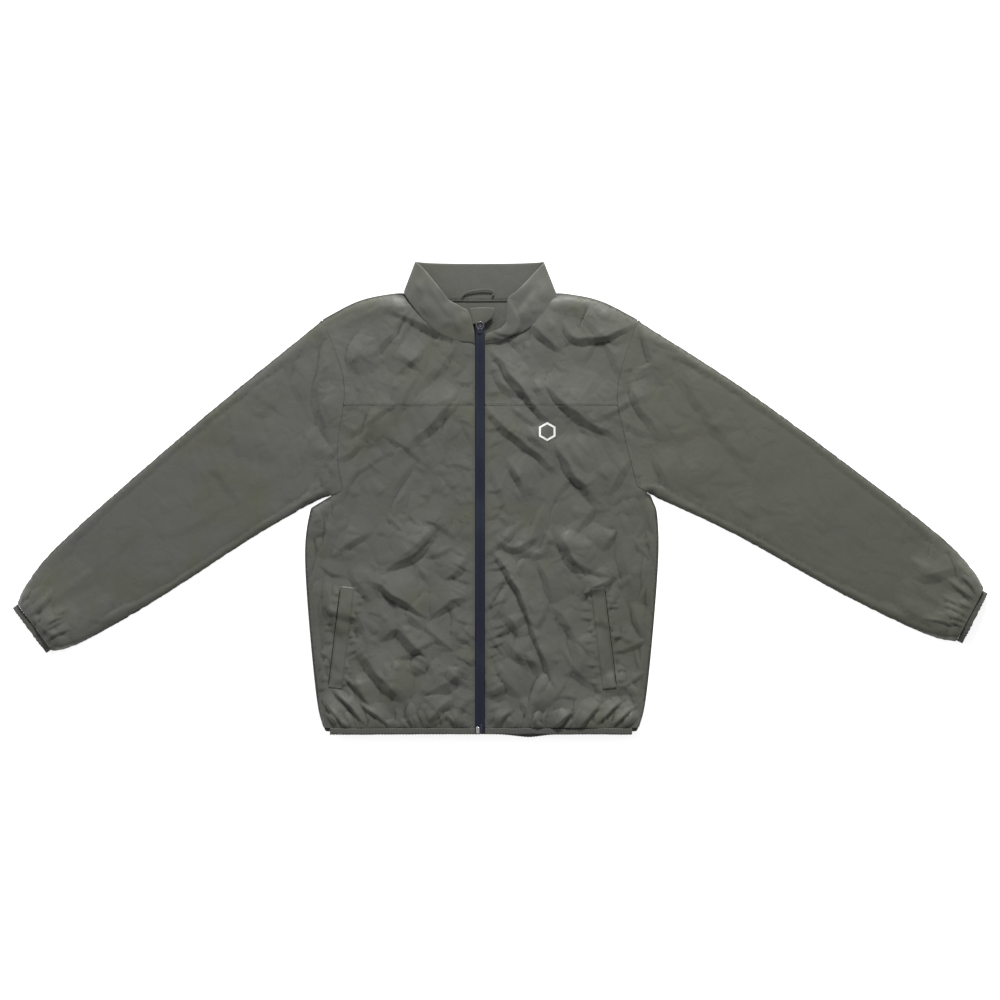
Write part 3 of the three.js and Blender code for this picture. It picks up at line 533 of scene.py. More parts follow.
def scattered(seed, count, low, high, lengths, widths, rises, angles):
    """Random curved strokes in a rectangle, in millimetres, at about the stated angles in degrees."""
    rng = np.random.default_rng(seed)
    strokes = []
    for _ in range(count):
        middle = rng.uniform(low, high)
        length = rng.uniform(*lengths)
        angle = math.radians(rng.choice(angles) + rng.normal(0, ANGLE_SPREAD))
        way = np.array((math.cos(angle), math.sin(angle)))
        bend = np.array((-way[1], way[0])) * rng.normal(0, BEND) * length
        route = [tuple(middle - way * length / 2), tuple(middle + bend), tuple(middle + way * length / 2)]
        size = rng.uniform(0, 1)
        width = widths[0] + (widths[1] - widths[0]) * size
        rise = rises[0] + (rises[1] - rises[0]) * size * rng.uniform(0.6, 1)
        strokes.append((route, width, rise))
    return strokes


def fan(seed, starts, ends, every, lengths, width, rise):
    """Short strokes that start on a line and run towards the matching place on another."""
    rng = np.random.default_rng(seed)
    a0, a1, b0, b1 = (np.array(p, float) for p in (*starts, *ends))
    count = max(2, int(np.linalg.norm(a1 - a0) / every))
    strokes = []
    for i in range(count):
        t = (i + rng.uniform(0.1, 0.9)) / count
        a = a0 + (a1 - a0) * t
        way = b0 + (b1 - b0) * t - a
        way /= np.linalg.norm(way)
        length = rng.uniform(*lengths)
        side_step = np.array((-way[1], way[0])) * rng.normal(0, FAN_BEND) * length
        route = [tuple(a), tuple(a + way * length / 2 + side_step), tuple(a + way * length + side_step)]
        strokes.append((route, width * rng.uniform(0.7, 1.3), rise * rng.uniform(0.5, 1.2)))
    return strokes


RANDOM_FOLDS = (
    scattered(1, 38, (14, -335), (240, -50), (30, 100), (3.5, 9), (1.4, 4.2), (-62, -50, -35, 40, 60))
    + scattered(2, 40, (-240, -335), (-14, -30), (30, 100), (3.5, 9), (1.4, 4.2), (-50, -35, 30, 38, 55))
    + scattered(3, 20, (14, -60), (215, 262), (30, 105), (3.5, 8), (1.2, 3.2), (-55, -48, 60, -62))
    + scattered(4, 18, (-215, -40), (-14, 262), (30, 105), (3.5, 8), (1.0, 3.0), (50, 58, 62, -40))
    + scattered(5, 24, (-420, -60), (-225, 220), (40, 120), (5, 11), (1.0, 2.8), (32, 75, 118))
    + scattered(6, 15, (-660, -210), (-430, -10), (40, 130), (5, 12), (0.7, 1.8), (20, 34, 60))
    + scattered(7, 28, (235, -60), (440, 220), (40, 120), (5, 11), (1.0, 2.8), (-35, -60, -80, 5))
    + scattered(8, 16, (440, -170), (700, 0), (40, 130), (5, 12), (0.7, 1.8), (-20, -34, -60))
    + scattered(9, 16, (238, -330), (268, 0), (30, 90), (3, 6), (1.4, 3.4), (-85, -75, 88))
    + scattered(10, 16, (-268, -330), (-238, 0), (30, 90), (3, 6), (1.4, 3.4), (85, 75, -88))
)
FINE_FOLDS = (
    fan(11, ((9, -345), (9, -90)), ((60, -320), (60, -70)), 12, (22, 46), 3.6, 1.3)
    + fan(12, ((-9, -345), (-9, -90)), ((-60, -330), (-60, -60)), 12, (22, 46), 3.6, 1.3)
    + fan(13, ((9, -80), (9, 225)), ((60, -60), (60, 240)), 26, (14, 34), 3.4, 0.8)
    + fan(14, ((-9, -80), (-9, 225)), ((-60, -60), (-60, 240)), 26, (14, 34), 3.4, 0.8)
    + fan(15, ((14, -347), (228, -347)), ((30, -300), (250, -290)), 7.5, (12, 34), 2.7, 1.5)
    + fan(16, ((-14, -347), (-225, -347)), ((-30, -300), (-250, -290)), 7.5, (12, 34), 2.7, 1.5)
    + fan(25, ((-192, -134), (-211, -288)), ((-140, -126), (-160, -280)), 10, (8, 24), 2.4, 1.1)
    + fan(26, ((-212, -134), (-232, -288)), ((-250, -140), (-268, -290)), 12, (8, 20), 2.4, 1.0)
    + fan(27, ((168, -134), (187, -288)), ((120, -126), (140, -280)), 10, (8, 24), 2.4, 1.1)
    + fan(28, ((190, -134), (209, -288)), ((240, -140), (256, -290)), 12, (8, 20), 2.4, 1.0)
    + scattered(17, 110, (18, -335), (235, 60), (12, 34), (2.6, 4.4), (0.4, 1.1), (-55, -35, 35, 80))
    + scattered(18, 110, (-235, -335), (-18, 60), (12, 34), (2.6, 4.4), (0.4, 1.1), (55, -35, 35, 80))
    + scattered(19, 60, (30, 60), (215, 280), (12, 34), (2.6, 4.4), (0.3, 0.9), (-55, -35, 35))
    + scattered(20, 60, (-215, 60), (-30, 280), (12, 34), (2.6, 4.4), (0.3, 0.9), (55, 35, -35))
    + scattered(21, 70, (-440, -80), (-215, 220), (14, 44), (2.8, 5), (0.3, 1.0), (35, 80, 120))
    + scattered(22, 70, (215, -80), (440, 220), (14, 44), (2.8, 5), (0.3, 1.0), (-35, -80, 10))
    + scattered(23, 22, (-690, -230), (-440, 0), (18, 50), (3, 6), (0.3, 0.8), (30, 60, 0))
    + scattered(24, 22, (440, -200), (740, 0), (18, 50), (3, 6), (0.3, 0.8), (-30, -60, 0))
)
for k, (starts, ends) in enumerate(cuff_fans):
    FINE_FOLDS = FINE_FOLDS + fan(30 + k, starts, ends, 6.0, (16, 60), 3.0, 2.3)
print(len(RANDOM_FOLDS), "middling folds and", len(FINE_FOLDS), "small ones")


# %% [markdown]
# ## Cutting the cloth
# Each pattern piece becomes a triangle mesh. Triangles without a common direction let cloth buckle any way
# it likes, while a square grid would line its creases up. A constrained Delaunay triangulation keeps the
# outline.

# %% Cutting a piece
SPACING = 4.2 * MM
ROW_SHARE, JITTER, RIM_GAP = 0.866, 0.22, 0.62
LIE = 0.35 * MM


def inside(points, loop):
    """Which points lie inside a closed outline."""
    result = np.zeros(len(points), bool)
    x, y = points.T
    for (x0, y0), (x1, y1) in zip(loop, np.roll(loop, -1, 0)):
        crosses = (y0 > y) != (y1 > y)
        with np.errstate(divide="ignore", invalid="ignore"):
            at = (x1 - x0) * (y - y0) / (y1 - y0) + x0
        result ^= crosses & (x < at)
    return result


def cut_piece(loop, seed, spacing=SPACING, slit=None):
    """Points and triangles of a pattern piece, and which points are its rim. A slit is cut open inside it."""
    loop = resample(loop, spacing)
    rng = np.random.default_rng(seed)
    low, high = loop.min(0), loop.max(0)
    rows = np.arange(low[1], high[1], spacing * ROW_SHARE)
    grid = []
    for i, y in enumerate(rows):
        xs = np.arange(low[0] + (i % 2) * spacing / 2, high[0], spacing)
        grid.append(np.stack([xs, np.full(len(xs), y)], 1))
    grid = np.vstack(grid)
    grid += rng.uniform(-JITTER, JITTER, grid.shape) * spacing
    grid = grid[inside(grid, loop)]
    count = len(loop)
    edges = [(i, (i + 1) % count) for i in range(count)]
    borders = dense(loop, spacing / 4)
    if slit is not None:
        edges += [(count + i, count + (i + 1) % len(slit)) for i in range(len(slit))]
        borders = np.vstack([borders, dense(slit, spacing / 4)])
        grid = grid[~inside(grid, slit)]
    rim_tree = tree_of(borders)
    grid = grid[[rim_tree.find((*p, 0))[2] > RIM_GAP * spacing for p in grid]]
    points = np.vstack([loop, grid] if slit is None else [loop, slit, grid])
    result = geometry.delaunay_2d_cdt([Vector(p) for p in points], edges, [list(range(count))], 1, 1e-7)
    places, triangles, sources = result[0], result[2], result[3]
    if slit is not None:
        centres = np.array([np.mean([places[i] for i in t], axis=0) for t in triangles])
        triangles = [t for t, hollow in zip(triangles, inside(centres, slit)) if not hollow]
    order = np.array([src[0] if src else -1 for src in sources])
    flat = np.array([(p.x, p.y) for p in places])
    is_rim = (order >= 0) & (order < count)
    return flat, [tuple(t) for t in triangles], is_rim


def new_piece(name, places, faces):
    mesh = bpy.data.meshes.new(name)
    mesh.from_pydata([tuple(p) for p in places], [], faces)
    mesh.update()
    mesh.shade_smooth()
    piece = bpy.data.objects.new(name, mesh)
    scene.collection.objects.link(piece)
    return piece


def rumple(points, scale, seed):
    """Smooth random height from -1 to 1, the same on every run."""
    shift = Vector((seed * 17.3, seed * 5.1, seed * 9.7))
    return np.array([noise.noise(Vector((p[0], p[1], 0)) / scale + shift) for p in points])


def back_height(points):
    """The back lies on the table and lifts a little at the closed edges."""
    d = edge_distance(points)
    return LIE + LIE * np.exp(-d / (6 * MM))


# %% [markdown]
# ## Pocket mouths
# Each hand pocket opens through a slit behind its welt. The slit runs along the welt's outer edge and leans
# with it, so it is found from the welt's own place in the frame. It is cut into the mesh, because a dark
# line painted on the cloth would stay flat when seen from the side.

# %% Pocket frames and slits
def welt_frame(side):
    """Middle, out and down directions, half-width and half-length of a welt."""
    middle, up, half = plan_frame(f"pocket_welt_{side}")
    out = np.array([up[1], -up[0]])
    out = out if out[0] * SIDES[side] > 0 else -out
    points = np.array([v.co[:2] for v in nodes[f"pocket_welt_{side}"].data.vertices]) - middle
    return middle, out, -up, np.abs(points @ out).max(), half


SLIT, SLIT_INSET, SLIT_END = 1.6 * MM, 1.2 * MM, 5 * MM
slits = {}
for side in SIDES:
    middle, out, down, wide, half = welt_frame(side)
    near, far = wide - SLIT_INSET, wide - SLIT_INSET + SLIT
    steps = np.linspace(-half + SLIT_END, half - SLIT_END, 37)
    ring = [middle + out * near + down * t for t in steps]
    ring += [middle + out * far + down * t for t in steps[::-1]]
    slits[side] = np.array(ring)
    print("pocket slit", side, round(2 * half / MM), "mm long")


# %% Cut every piece
fabric = {}
seeds = iter(range(1, 40))
for name, loop in outlines.items():
    slit = slits[name.rsplit("_", 1)[1]] if "front_panel" in name else None
    flat, triangles, is_rim = cut_piece(loop, next(seeds), slit=slit)
    fabric[name] = (flat, triangles, is_rim)
    print(name, len(flat), "points", len(triangles), "triangles")

# %% [markdown]
# ## Letting the cloth crumple
# Sewn cloth swells and wrinkles because seams and elastic hold its rim shorter than its middle. The Cloth
# modifier can do just that: the rim is pinned, and a negative shrink makes the rest want to be longer. A
# weight map asks for more length beside the zip, the hem and the cuffs, where the real jacket is gathered.
# All pieces run together in one pass. The drawn folds are added to the settled cloth afterwards, so that
# the simulation doesn't iron them out.

# %% Relief of the drawn folds
def near_edge(points, reach=9 * MM):
    """0 at the closed edges and 1 away from them, so that folds fade out towards a sewn edge."""
    return 1 - np.exp(-((edge_distance(points) / reach) ** 2))


def big_relief(points):
    return (long_folds(points) + long_folds(points, RANDOM_FOLDS, RANDOM_STRENGTH)) * near_edge(points)


def small_relief(points):
    return long_folds(points, FINE_FOLDS, FINE_STRENGTH) * (0.25 + 0.75 * near_edge(points, 5 * MM))


# %% How much too long the cloth is
def extra_length(name, points):
    """How much too long the cloth is, as a share, at each point."""
    extra = np.full(len(points), 0.012)
    x, y = np.abs(points[:, 0]), points[:, 1]
    if "front_panel" in name:
        extra = 0.026 + 0.050 * np.exp(-(y - hem_top) / (26 * MM))
        extra += 0.022 * np.exp(-(x - zip_edge) / (16 * MM)) * (y < -0.02)
    if "front_yoke" in name:
        extra = np.full(len(points), 0.016)
    if "sleeve" in name:
        side = name.rsplit("_", 1)[1]
        middle, across, _ = cuffs[side]
        away = np.array([across[1], -across[0]]) * SIDES[side]
        from_cuff = -((points - middle) @ away)
        extra = 0.007 + 0.05 * np.exp(-np.clip(from_cuff, 0, None) / (22 * MM))
        extra += 0.018 * np.exp(-(x - 0.21) / (60 * MM))
    return extra


# %% Setting up the cloth
FRAMES = 26
LAST_FRAME = 40
BACK_SLACK = 0.5


def start_cloth(name, flat, triangles, is_rim, height, extra, seed):
    """A pinned piece at its starting height, with its Cloth modifier."""
    ripple = 0.5 * MM * rumple(flat, 26 * MM, seed) + 0.25 * MM * rumple(flat, 11 * MM, seed + 50)
    z = height + np.where(is_rim, 0, ripple)
    piece = new_piece(name, np.column_stack([flat, z]), triangles)
    pin = piece.vertex_groups.new(name="pin")
    pin.add([int(i) for i in np.where(is_rim)[0]], 1.0, "REPLACE")
    most = float(extra.max())
    more = piece.vertex_groups.new(name="more")
    for i, e in enumerate(extra):
        more.add([i], float(e / most), "REPLACE")
    cloth = piece.modifiers.new("cloth", "CLOTH")
    s = cloth.settings
    s.quality = 5
    s.mass = 0.02
    s.tension_stiffness = s.compression_stiffness = 12
    s.shear_stiffness = 4
    s.bending_stiffness = 0.02
    s.tension_damping = s.compression_damping = 8
    s.shear_damping = 8
    s.bending_damping = 0.6
    s.air_damping = 3
    s.vertex_group_mass = "pin"
    s.pin_stiffness = 1
    s.vertex_group_shrink = "more"
    s.shrink_min = 0.0
    s.shrink_max = -most
    s.effector_weights.gravity = 0.05
    cloth.collision_settings.use_collision = False
    cloth.point_cache.frame_start = 1
    cloth.point_cache.frame_end = LAST_FRAME
    return piece


jobs = []
for k, (name, (flat, triangles, is_rim)) in enumerate(fabric.items()):
    extra, lying = extra_length(name, flat), back_height(flat)
    if name.startswith("back"):
        jobs.append((name, start_cloth(name, flat, triangles, is_rim, lying, extra * BACK_SLACK, k)))
        continue
    jobs.append((name, start_cloth(name, flat, triangles, is_rim, crown(flat), extra, k)))
    if "sleeve" in name:
        under = start_cloth(name + "_under", flat, triangles, is_rim, lying, extra * BACK_SLACK, k + 20)
        jobs.append((name + "_under", under))
print(len(jobs), "sheets of cloth to settle")

# %% Running the simulation
scene.frame_start, scene.frame_end = 1, LAST_FRAME
for number in range(1, FRAMES + 1):
    scene.frame_set(number)
shapes = {}
deps = bpy.context.evaluated_depsgraph_get()
for name, piece in jobs:
    settled = piece.evaluated_get(deps)
    count = len(piece.data.vertices)
    co = np.empty(count * 3, np.float32)
    settled.data.vertices.foreach_get("co", co)
    shapes[name] = co.reshape(-1, 3).astype(float)
    moved = np.abs(shapes[name][:, 2] - [v.co.z for v in piece.data.vertices]).max()
    print(name, "moved at most", round(float(moved) / MM, 2), "mm")
for name, piece in jobs:
    bpy.data.objects.remove(piece, do_unlink=True)
scene.frame_set(1)

# %% [markdown]
# ## Cloth pieces from the settled shapes
# The settled shapes become the real pieces. A sleeve is a tube, so its upper and lower sheets share their
# rim. One round of subdivision smooths them, and then the drawn folds go on. Each point also stores how deep
# it lies and how near a sewn edge it is, and the material paints hollows and sewn edges darker as painted
# shade.

# %% Subdividing and applying
def soft_floor(z, low, blur=1.2 * MM):
    """Keeps heights above a level without a hard edge."""
    above = z - low
    return low + 0.5 * (above + np.sqrt(above**2 + blur**2)) - 0.5 * blur * np.exp(-np.abs(above) / blur)


def applied(pieces):
    """Gives each piece its evaluated mesh, so that no modifier is left on it."""
    graph = bpy.context.evaluated_depsgraph_get()
    finished = [bpy.data.meshes.new_from_object(piece.evaluated_get(graph)) for piece in pieces]
    for piece, mesh in zip(pieces, finished):
        piece.modifiers.clear()
        piece.data = mesh
        mesh.name = piece.name
        mesh.shade_smooth()


def finer(pieces):
    """Subdivides several pieces in one evaluation."""
    for piece in pieces:
        mod = piece.modifiers.new("finer", "SUBSURF")
        mod.levels = mod.render_levels = 1
    applied(pieces)


# %% Painted shade in hollows and along sewn edges
# Painted shade along sewn edges: a thin rim of this width is painted fully dark, and a fainter shade fades
# out over the reach.
SHADED_RIM_WIDTH = 3.0 * MM
EDGE_SHADE_DEPTH, EDGE_SHADE_REACH = 0.36, 26 * MM


def store_painted_shade(piece, rounds=7, full=0.5 * MM):
    """Stores a painted-shade value for each point, from -1 to 1: how far it lies below (-) or above (+) the
    smoothed cloth round it, lowered near the sewn edges.
    """
    count = len(piece.data.vertices)
    edges = np.empty(2 * len(piece.data.edges), np.int32)
    piece.data.edges.foreach_get("vertices", edges)
    first, second = edges.reshape(-1, 2).T
    places = np.empty(3 * count, np.float32)
    piece.data.vertices.foreach_get("co", places)
    height = places[2::3].astype(float)
    degree = np.bincount(edges, minlength=count)
    z = height.copy()
    for _ in range(rounds):
        total = np.bincount(first, z[second], count) + np.bincount(second, z[first], count)
        z = 0.4 * z + 0.6 * total / np.maximum(degree, 1)
    # The fold attribute holds this painted-shade value, and the material darkens the cloth where it is low.
    layer = piece.data.attributes.new("fold", "FLOAT", "POINT")
    fold = np.clip((height - z) / full, -1, 1)
    from_edge = edge_distance(places.reshape(-1, 3)[:, :2])
    # Painted shade: lower near the sewn edges, and -1 in a thin rim along them.
    fold -= EDGE_SHADE_DEPTH * np.exp(-from_edge / EDGE_SHADE_REACH)
    fold[from_edge < SHADED_RIM_WIDTH] = -1
    layer.data.foreach_set("value", fold.astype(np.float32))


# %% Building the pieces
LOWEST, LOWEST_BLUR, RIM_TOP = 0.3 * MM, 0.5 * MM, 0.9 * MM
KEPT_UP, SHUT = 0.62, 1.0 * MM
made = {}
for name, (flat, triangles, is_rim) in fabric.items():
    shape = shapes[name].copy()
    if name.startswith("back"):
        shape[:, 2] = soft_floor(shape[:, 2], LOWEST, LOWEST_BLUR)
        made[name] = new_piece("cloth_" + name, shape, [t[::-1] for t in triangles])
        continue
    height = crown(flat)
    shape[:, 2] = soft_floor(shape[:, 2], height * KEPT_UP)
    shape[is_rim, 2] = height[is_rim]
    if "sleeve" not in name:
        made[name] = new_piece("cloth_" + name, shape, triangles)
        continue
    under = shapes[name + "_under"].copy()
    under[:, 2] = soft_floor(under[:, 2], LOWEST, LOWEST_BLUR)
    under[is_rim, 2] = np.minimum(under[is_rim, 2], RIM_TOP)
    shut = is_rim & (edge_distance(flat) < SHUT)
    shape[shut, 2] = EDGE
    count = len(flat)
    index = np.arange(2 * count)
    index[count:][shut] = np.where(shut)[0]
    faces = triangles + [tuple(int(index[i + count]) for i in t[::-1]) for t in triangles]
    used = np.unique(np.array(faces))
    fresh = np.full(2 * count, -1)
    fresh[used] = np.arange(len(used))
    both = np.vstack([shape, under])[used]
    made[name] = new_piece("cloth_" + name, both, [tuple(int(fresh[i]) for i in f) for f in faces])
finer(list(made.values()))
print(len(made), "cloth pieces")

# %% Adding the folds
TOP_FROM, TOP_OVER = 2.5 * MM, 3 * MM


def add_relief(piece, top_only=False):
    """Adds the drawn folds to the finished points, so that their crests stay sharp."""
    count = len(piece.data.vertices)
    places = np.empty(count * 3, np.float32)
    piece.data.vertices.foreach_get("co", places)
    places = places.reshape(-1, 3).astype(float)
    extra = big_relief(places[:, :2]) + small_relief(places[:, :2])
    if top_only:
        extra *= np.clip((places[:, 2] - TOP_FROM) / TOP_OVER, 0, 1)
    places[:, 2] += extra
    piece.data.vertices.foreach_set("co", places.ravel().astype(np.float32))
    piece.data.update()


for name, piece in made.items():
    if not name.startswith("back"):
        add_relief(piece, "sleeve" in name)
    store_painted_shade(piece)
    print(piece.name, len(piece.data.polygons), "faces")

# %% [markdown]
# ## The front as one surface
# Welts, stitches, pocket bags and the badge all lie on the front or hang from it. They find their height by
# looking straight down on the finished cloth, which is surer than working out the folds a second time.

# %% The front as one surface
def surface_tree(pieces):
    verts, faces = [], []
    for piece in pieces:
        start = len(verts)
        verts += [v.co.copy() for v in piece.data.vertices]
        faces += [[start + i for i in p.vertices] for p in piece.data.polygons]
    return BVHTree.FromPolygons(verts, faces)


front_tree = surface_tree([p for n, p in made.items() if not n.startswith("back")])


def front_z(x, y):
    """Height of the front, or of its crown where a slit leaves it open."""
    hit = front_tree.ray_cast(Vector((x, y, 0.1)), Vector((0, 0, -1)))[0]
    return float(crown(np.array([[x, y]]))[0]) if hit is None else hit.z


def calm_z(x, y, reach):
    """Height of the front, averaged over a small neighbourhood."""
    spots = [(0, 0), (1, 0), (-1, 0), (0, 1), (0, -1)]
    return float(np.mean([front_z(x + a * reach, y + b * reach) for a, b in spots]))


print("the front is", round(front_z(0.1, 0.0) / MM, 1), "mm up beside the zip")

# %% [markdown]
# ## Woven nylon as a material
# The cloth is a dense plain weave, dyed dark olive with a thin coating inside. Close to, the yarns make a
# fine grid. From further away the coating gives patches that lean to olive or to lilac; on the zip tape they
# are lighter and partly painted highlight. Creases and sewn edges get painted shade. Each of these effects is
# a node group with its own inputs, so that bindings, collar and lining can use them too.

# %% Small helpers for shader trees
def new_group(name, inputs, outputs):
    group = bpy.data.node_groups.new(name, "ShaderNodeTree")
    for label, kind, value in inputs:
        socket = group.interface.new_socket(label, in_out="INPUT", socket_type=kind)
        socket.default_value = value
    for label, kind in outputs:
        group.interface.new_socket(label, in_out="OUTPUT", socket_type=kind)
    return group, group.nodes.new("NodeGroupInput"), group.nodes.new("NodeGroupOutput")


def maths(tree, operation, a, b=None, c=None):
    node = tree.nodes.new("ShaderNodeMath")
    node.operation = operation
    for i, value in enumerate((a, b, c)):
        if value is None:
            continue
        if isinstance(value, (int, float)):
            node.inputs[i].default_value = value
        else:
            tree.links.new(value, node.inputs[i])
    return node.outputs[0]


def use(tree, group, **values):
    """A group node with its inputs set or linked."""
    node = tree.nodes.new("ShaderNodeGroup")
    node.node_tree = group
    for label, value in values.items():
        label = label.replace("_", " ")
        if isinstance(value, (int, float)):
            node.inputs[label].default_value = value
        else:
            tree.links.new(value, node.inputs[label])
    return node


def mixed(tree, mask, a, b):
    """Two colours mixed by a mask."""
    node = tree.nodes.new("ShaderNodeMix")
    node.data_type = "RGBA"
    for i, value in ((0, mask), (6, a), (7, b)):
        if isinstance(value, (int, float)):
            node.inputs[i].default_value = value
        elif isinstance(value, tuple):
            node.inputs[i].default_value = (*value, 1)
        else:
            tree.links.new(value, node.inputs[i])
    return node.outputs[2]


# %% Weave
def weave_group():
    """Plain weave: warp and weft take turns on top. Height is the yarn height and Gap the dark pinholes."""
    group, ins, outs = new_group(
        "plain_weave",
        [("Vector", "NodeSocketVector", (0, 0, 0)), ("Pitch", "NodeSocketFloat", 0.0005)],
        [("Height", "NodeSocketFloat"), ("Gap", "NodeSocketFloat")],
    )
    split = group.nodes.new("ShaderNodeSeparateXYZ")
    group.links.new(ins.outputs["Vector"], split.inputs[0])
    waves = []
    for axis in ("X", "Y"):
        cycles = maths(group, "DIVIDE", split.outputs[axis], ins.outputs["Pitch"])
        waves.append(maths(group, "SINE", maths(group, "MULTIPLY", cycles, math.pi)))
    over = maths(group, "MULTIPLY", waves[0], waves[1])
    group.links.new(over, outs.inputs["Height"])
    edge = maths(group, "MULTIPLY", maths(group, "ABSOLUTE", waves[0]), maths(group, "ABSOLUTE", waves[1]))
    group.links.new(maths(group, "LESS_THAN", edge, 0.06), outs.inputs["Gap"])
    return group


# %% Coating
def coating_group():
    """Slow change of colour over the cloth: Olive and Lilac are masks from 0 to 1."""
    group, ins, outs = new_group(
        "coating_tint",
        [("Vector", "NodeSocketVector", (0, 0, 0)), ("Patch Size", "NodeSocketFloat", 0.09)],
        [("Olive", "NodeSocketFloat"), ("Lilac", "NodeSocketFloat"), ("Mottle", "NodeSocketFloat")],
    )
    scale = maths(group, "DIVIDE", 1.0, ins.outputs["Patch Size"])
    masks = (("Olive", 1.0, 2, 0.5, 0.72), ("Lilac", 1.7, 2, 0.55, 0.78), ("Mottle", 6.0, 3, 0.3, 0.7))
    for label, share, detail, low, high in masks:
        cloud = group.nodes.new("ShaderNodeTexNoise")
        cloud.inputs["Detail"].default_value = detail
        shifted = group.nodes.new("ShaderNodeVectorMath")
        shifted.operation = "ADD"
        shifted.inputs[1].default_value = (share * 3.1, share * 1.7, share * 0.4)
        group.links.new(ins.outputs["Vector"], shifted.inputs[0])
        group.links.new(shifted.outputs[0], cloud.inputs["Vector"])
        group.links.new(maths(group, "MULTIPLY", scale, share), cloud.inputs["Scale"])
        ramp = group.nodes.new("ShaderNodeMapRange")
        ramp.interpolation_type = "SMOOTHSTEP"
        ramp.inputs["From Min"].default_value = low
        ramp.inputs["From Max"].default_value = high
        group.links.new(cloud.outputs["Fac"], ramp.inputs["Value"])
        group.links.new(ramp.outputs["Result"], outs.inputs[label])
    return group


# %% Crumple
def crumple_group():
    """Small hard creases: the ridges between the cells of a warped Voronoi pattern, as a height, and Crease,
    a mask along them that the cloth uses for painted shade.
    """
    group, ins, outs = new_group(
        "crumple",
        [
            ("Vector", "NodeSocketVector", (0, 0, 0)),
            ("Size", "NodeSocketFloat", 0.03),
            ("Warp", "NodeSocketFloat", 0.012),
        ],
        [("Height", "NodeSocketFloat"), ("Crease", "NodeSocketFloat")],
    )
    cloud = group.nodes.new("ShaderNodeTexNoise")
    cloud.inputs["Scale"].default_value = 22
    cloud.inputs["Detail"].default_value = 2
    group.links.new(ins.outputs["Vector"], cloud.inputs["Vector"])
    centred = group.nodes.new("ShaderNodeVectorMath")
    centred.operation = "SUBTRACT"
    centred.inputs[1].default_value = (0.5, 0.5, 0.5)
    group.links.new(cloud.outputs["Color"], centred.inputs[0])
    warped = group.nodes.new("ShaderNodeVectorMath")
    warped.operation = "SCALE"
    group.links.new(centred.outputs[0], warped.inputs[0])
    group.links.new(ins.outputs["Warp"], warped.inputs["Scale"])
    moved = group.nodes.new("ShaderNodeVectorMath")
    moved.operation = "ADD"
    group.links.new(ins.outputs["Vector"], moved.inputs[0])
    group.links.new(warped.outputs[0], moved.inputs[1])
    cells = group.nodes.new("ShaderNodeTexVoronoi")
    cells.feature = "DISTANCE_TO_EDGE"
    group.links.new(moved.outputs[0], cells.inputs["Vector"])
    group.links.new(maths(group, "DIVIDE", 1.0, ins.outputs["Size"]), cells.inputs["Scale"])
    group.links.new(maths(group, "SQRT", cells.outputs["Distance"]), outs.inputs["Height"])
    ramp = group.nodes.new("ShaderNodeMapRange")
    ramp.inputs["From Min"].default_value = 0.05
    ramp.inputs["From Max"].default_value = 0.0
    group.links.new(cells.outputs["Distance"], ramp.inputs["Value"])
    group.links.new(ramp.outputs["Result"], outs.inputs["Crease"])
    return group


WEAVE, COATING, CRUMPLE = weave_group(), coating_group(), crumple_group()
print("groups:", WEAVE.name, COATING.name, CRUMPLE.name)

# %% A cloth finish
PATCH = 0.09
PAINTED_SHADE_FROM, PAINTED_SHADE_TO, PAINTED_SHADE_MOST = -0.2, -1.0, 0.88
SIDE_TINT_FROM, SIDE_TINT_TO, SIDE_TINT_MOST = 0.06, 0.34, 0.75
LILAC_SHARE, MOTTLE_SHARE, CREASE_SHADE_SHARE, GAP_SHARE = 0.7, 0.10, 0.05, 0.3
BIG_CREASE, SMALL_CREASE, YARN = 2.2, 0.55, 0.02 * MM


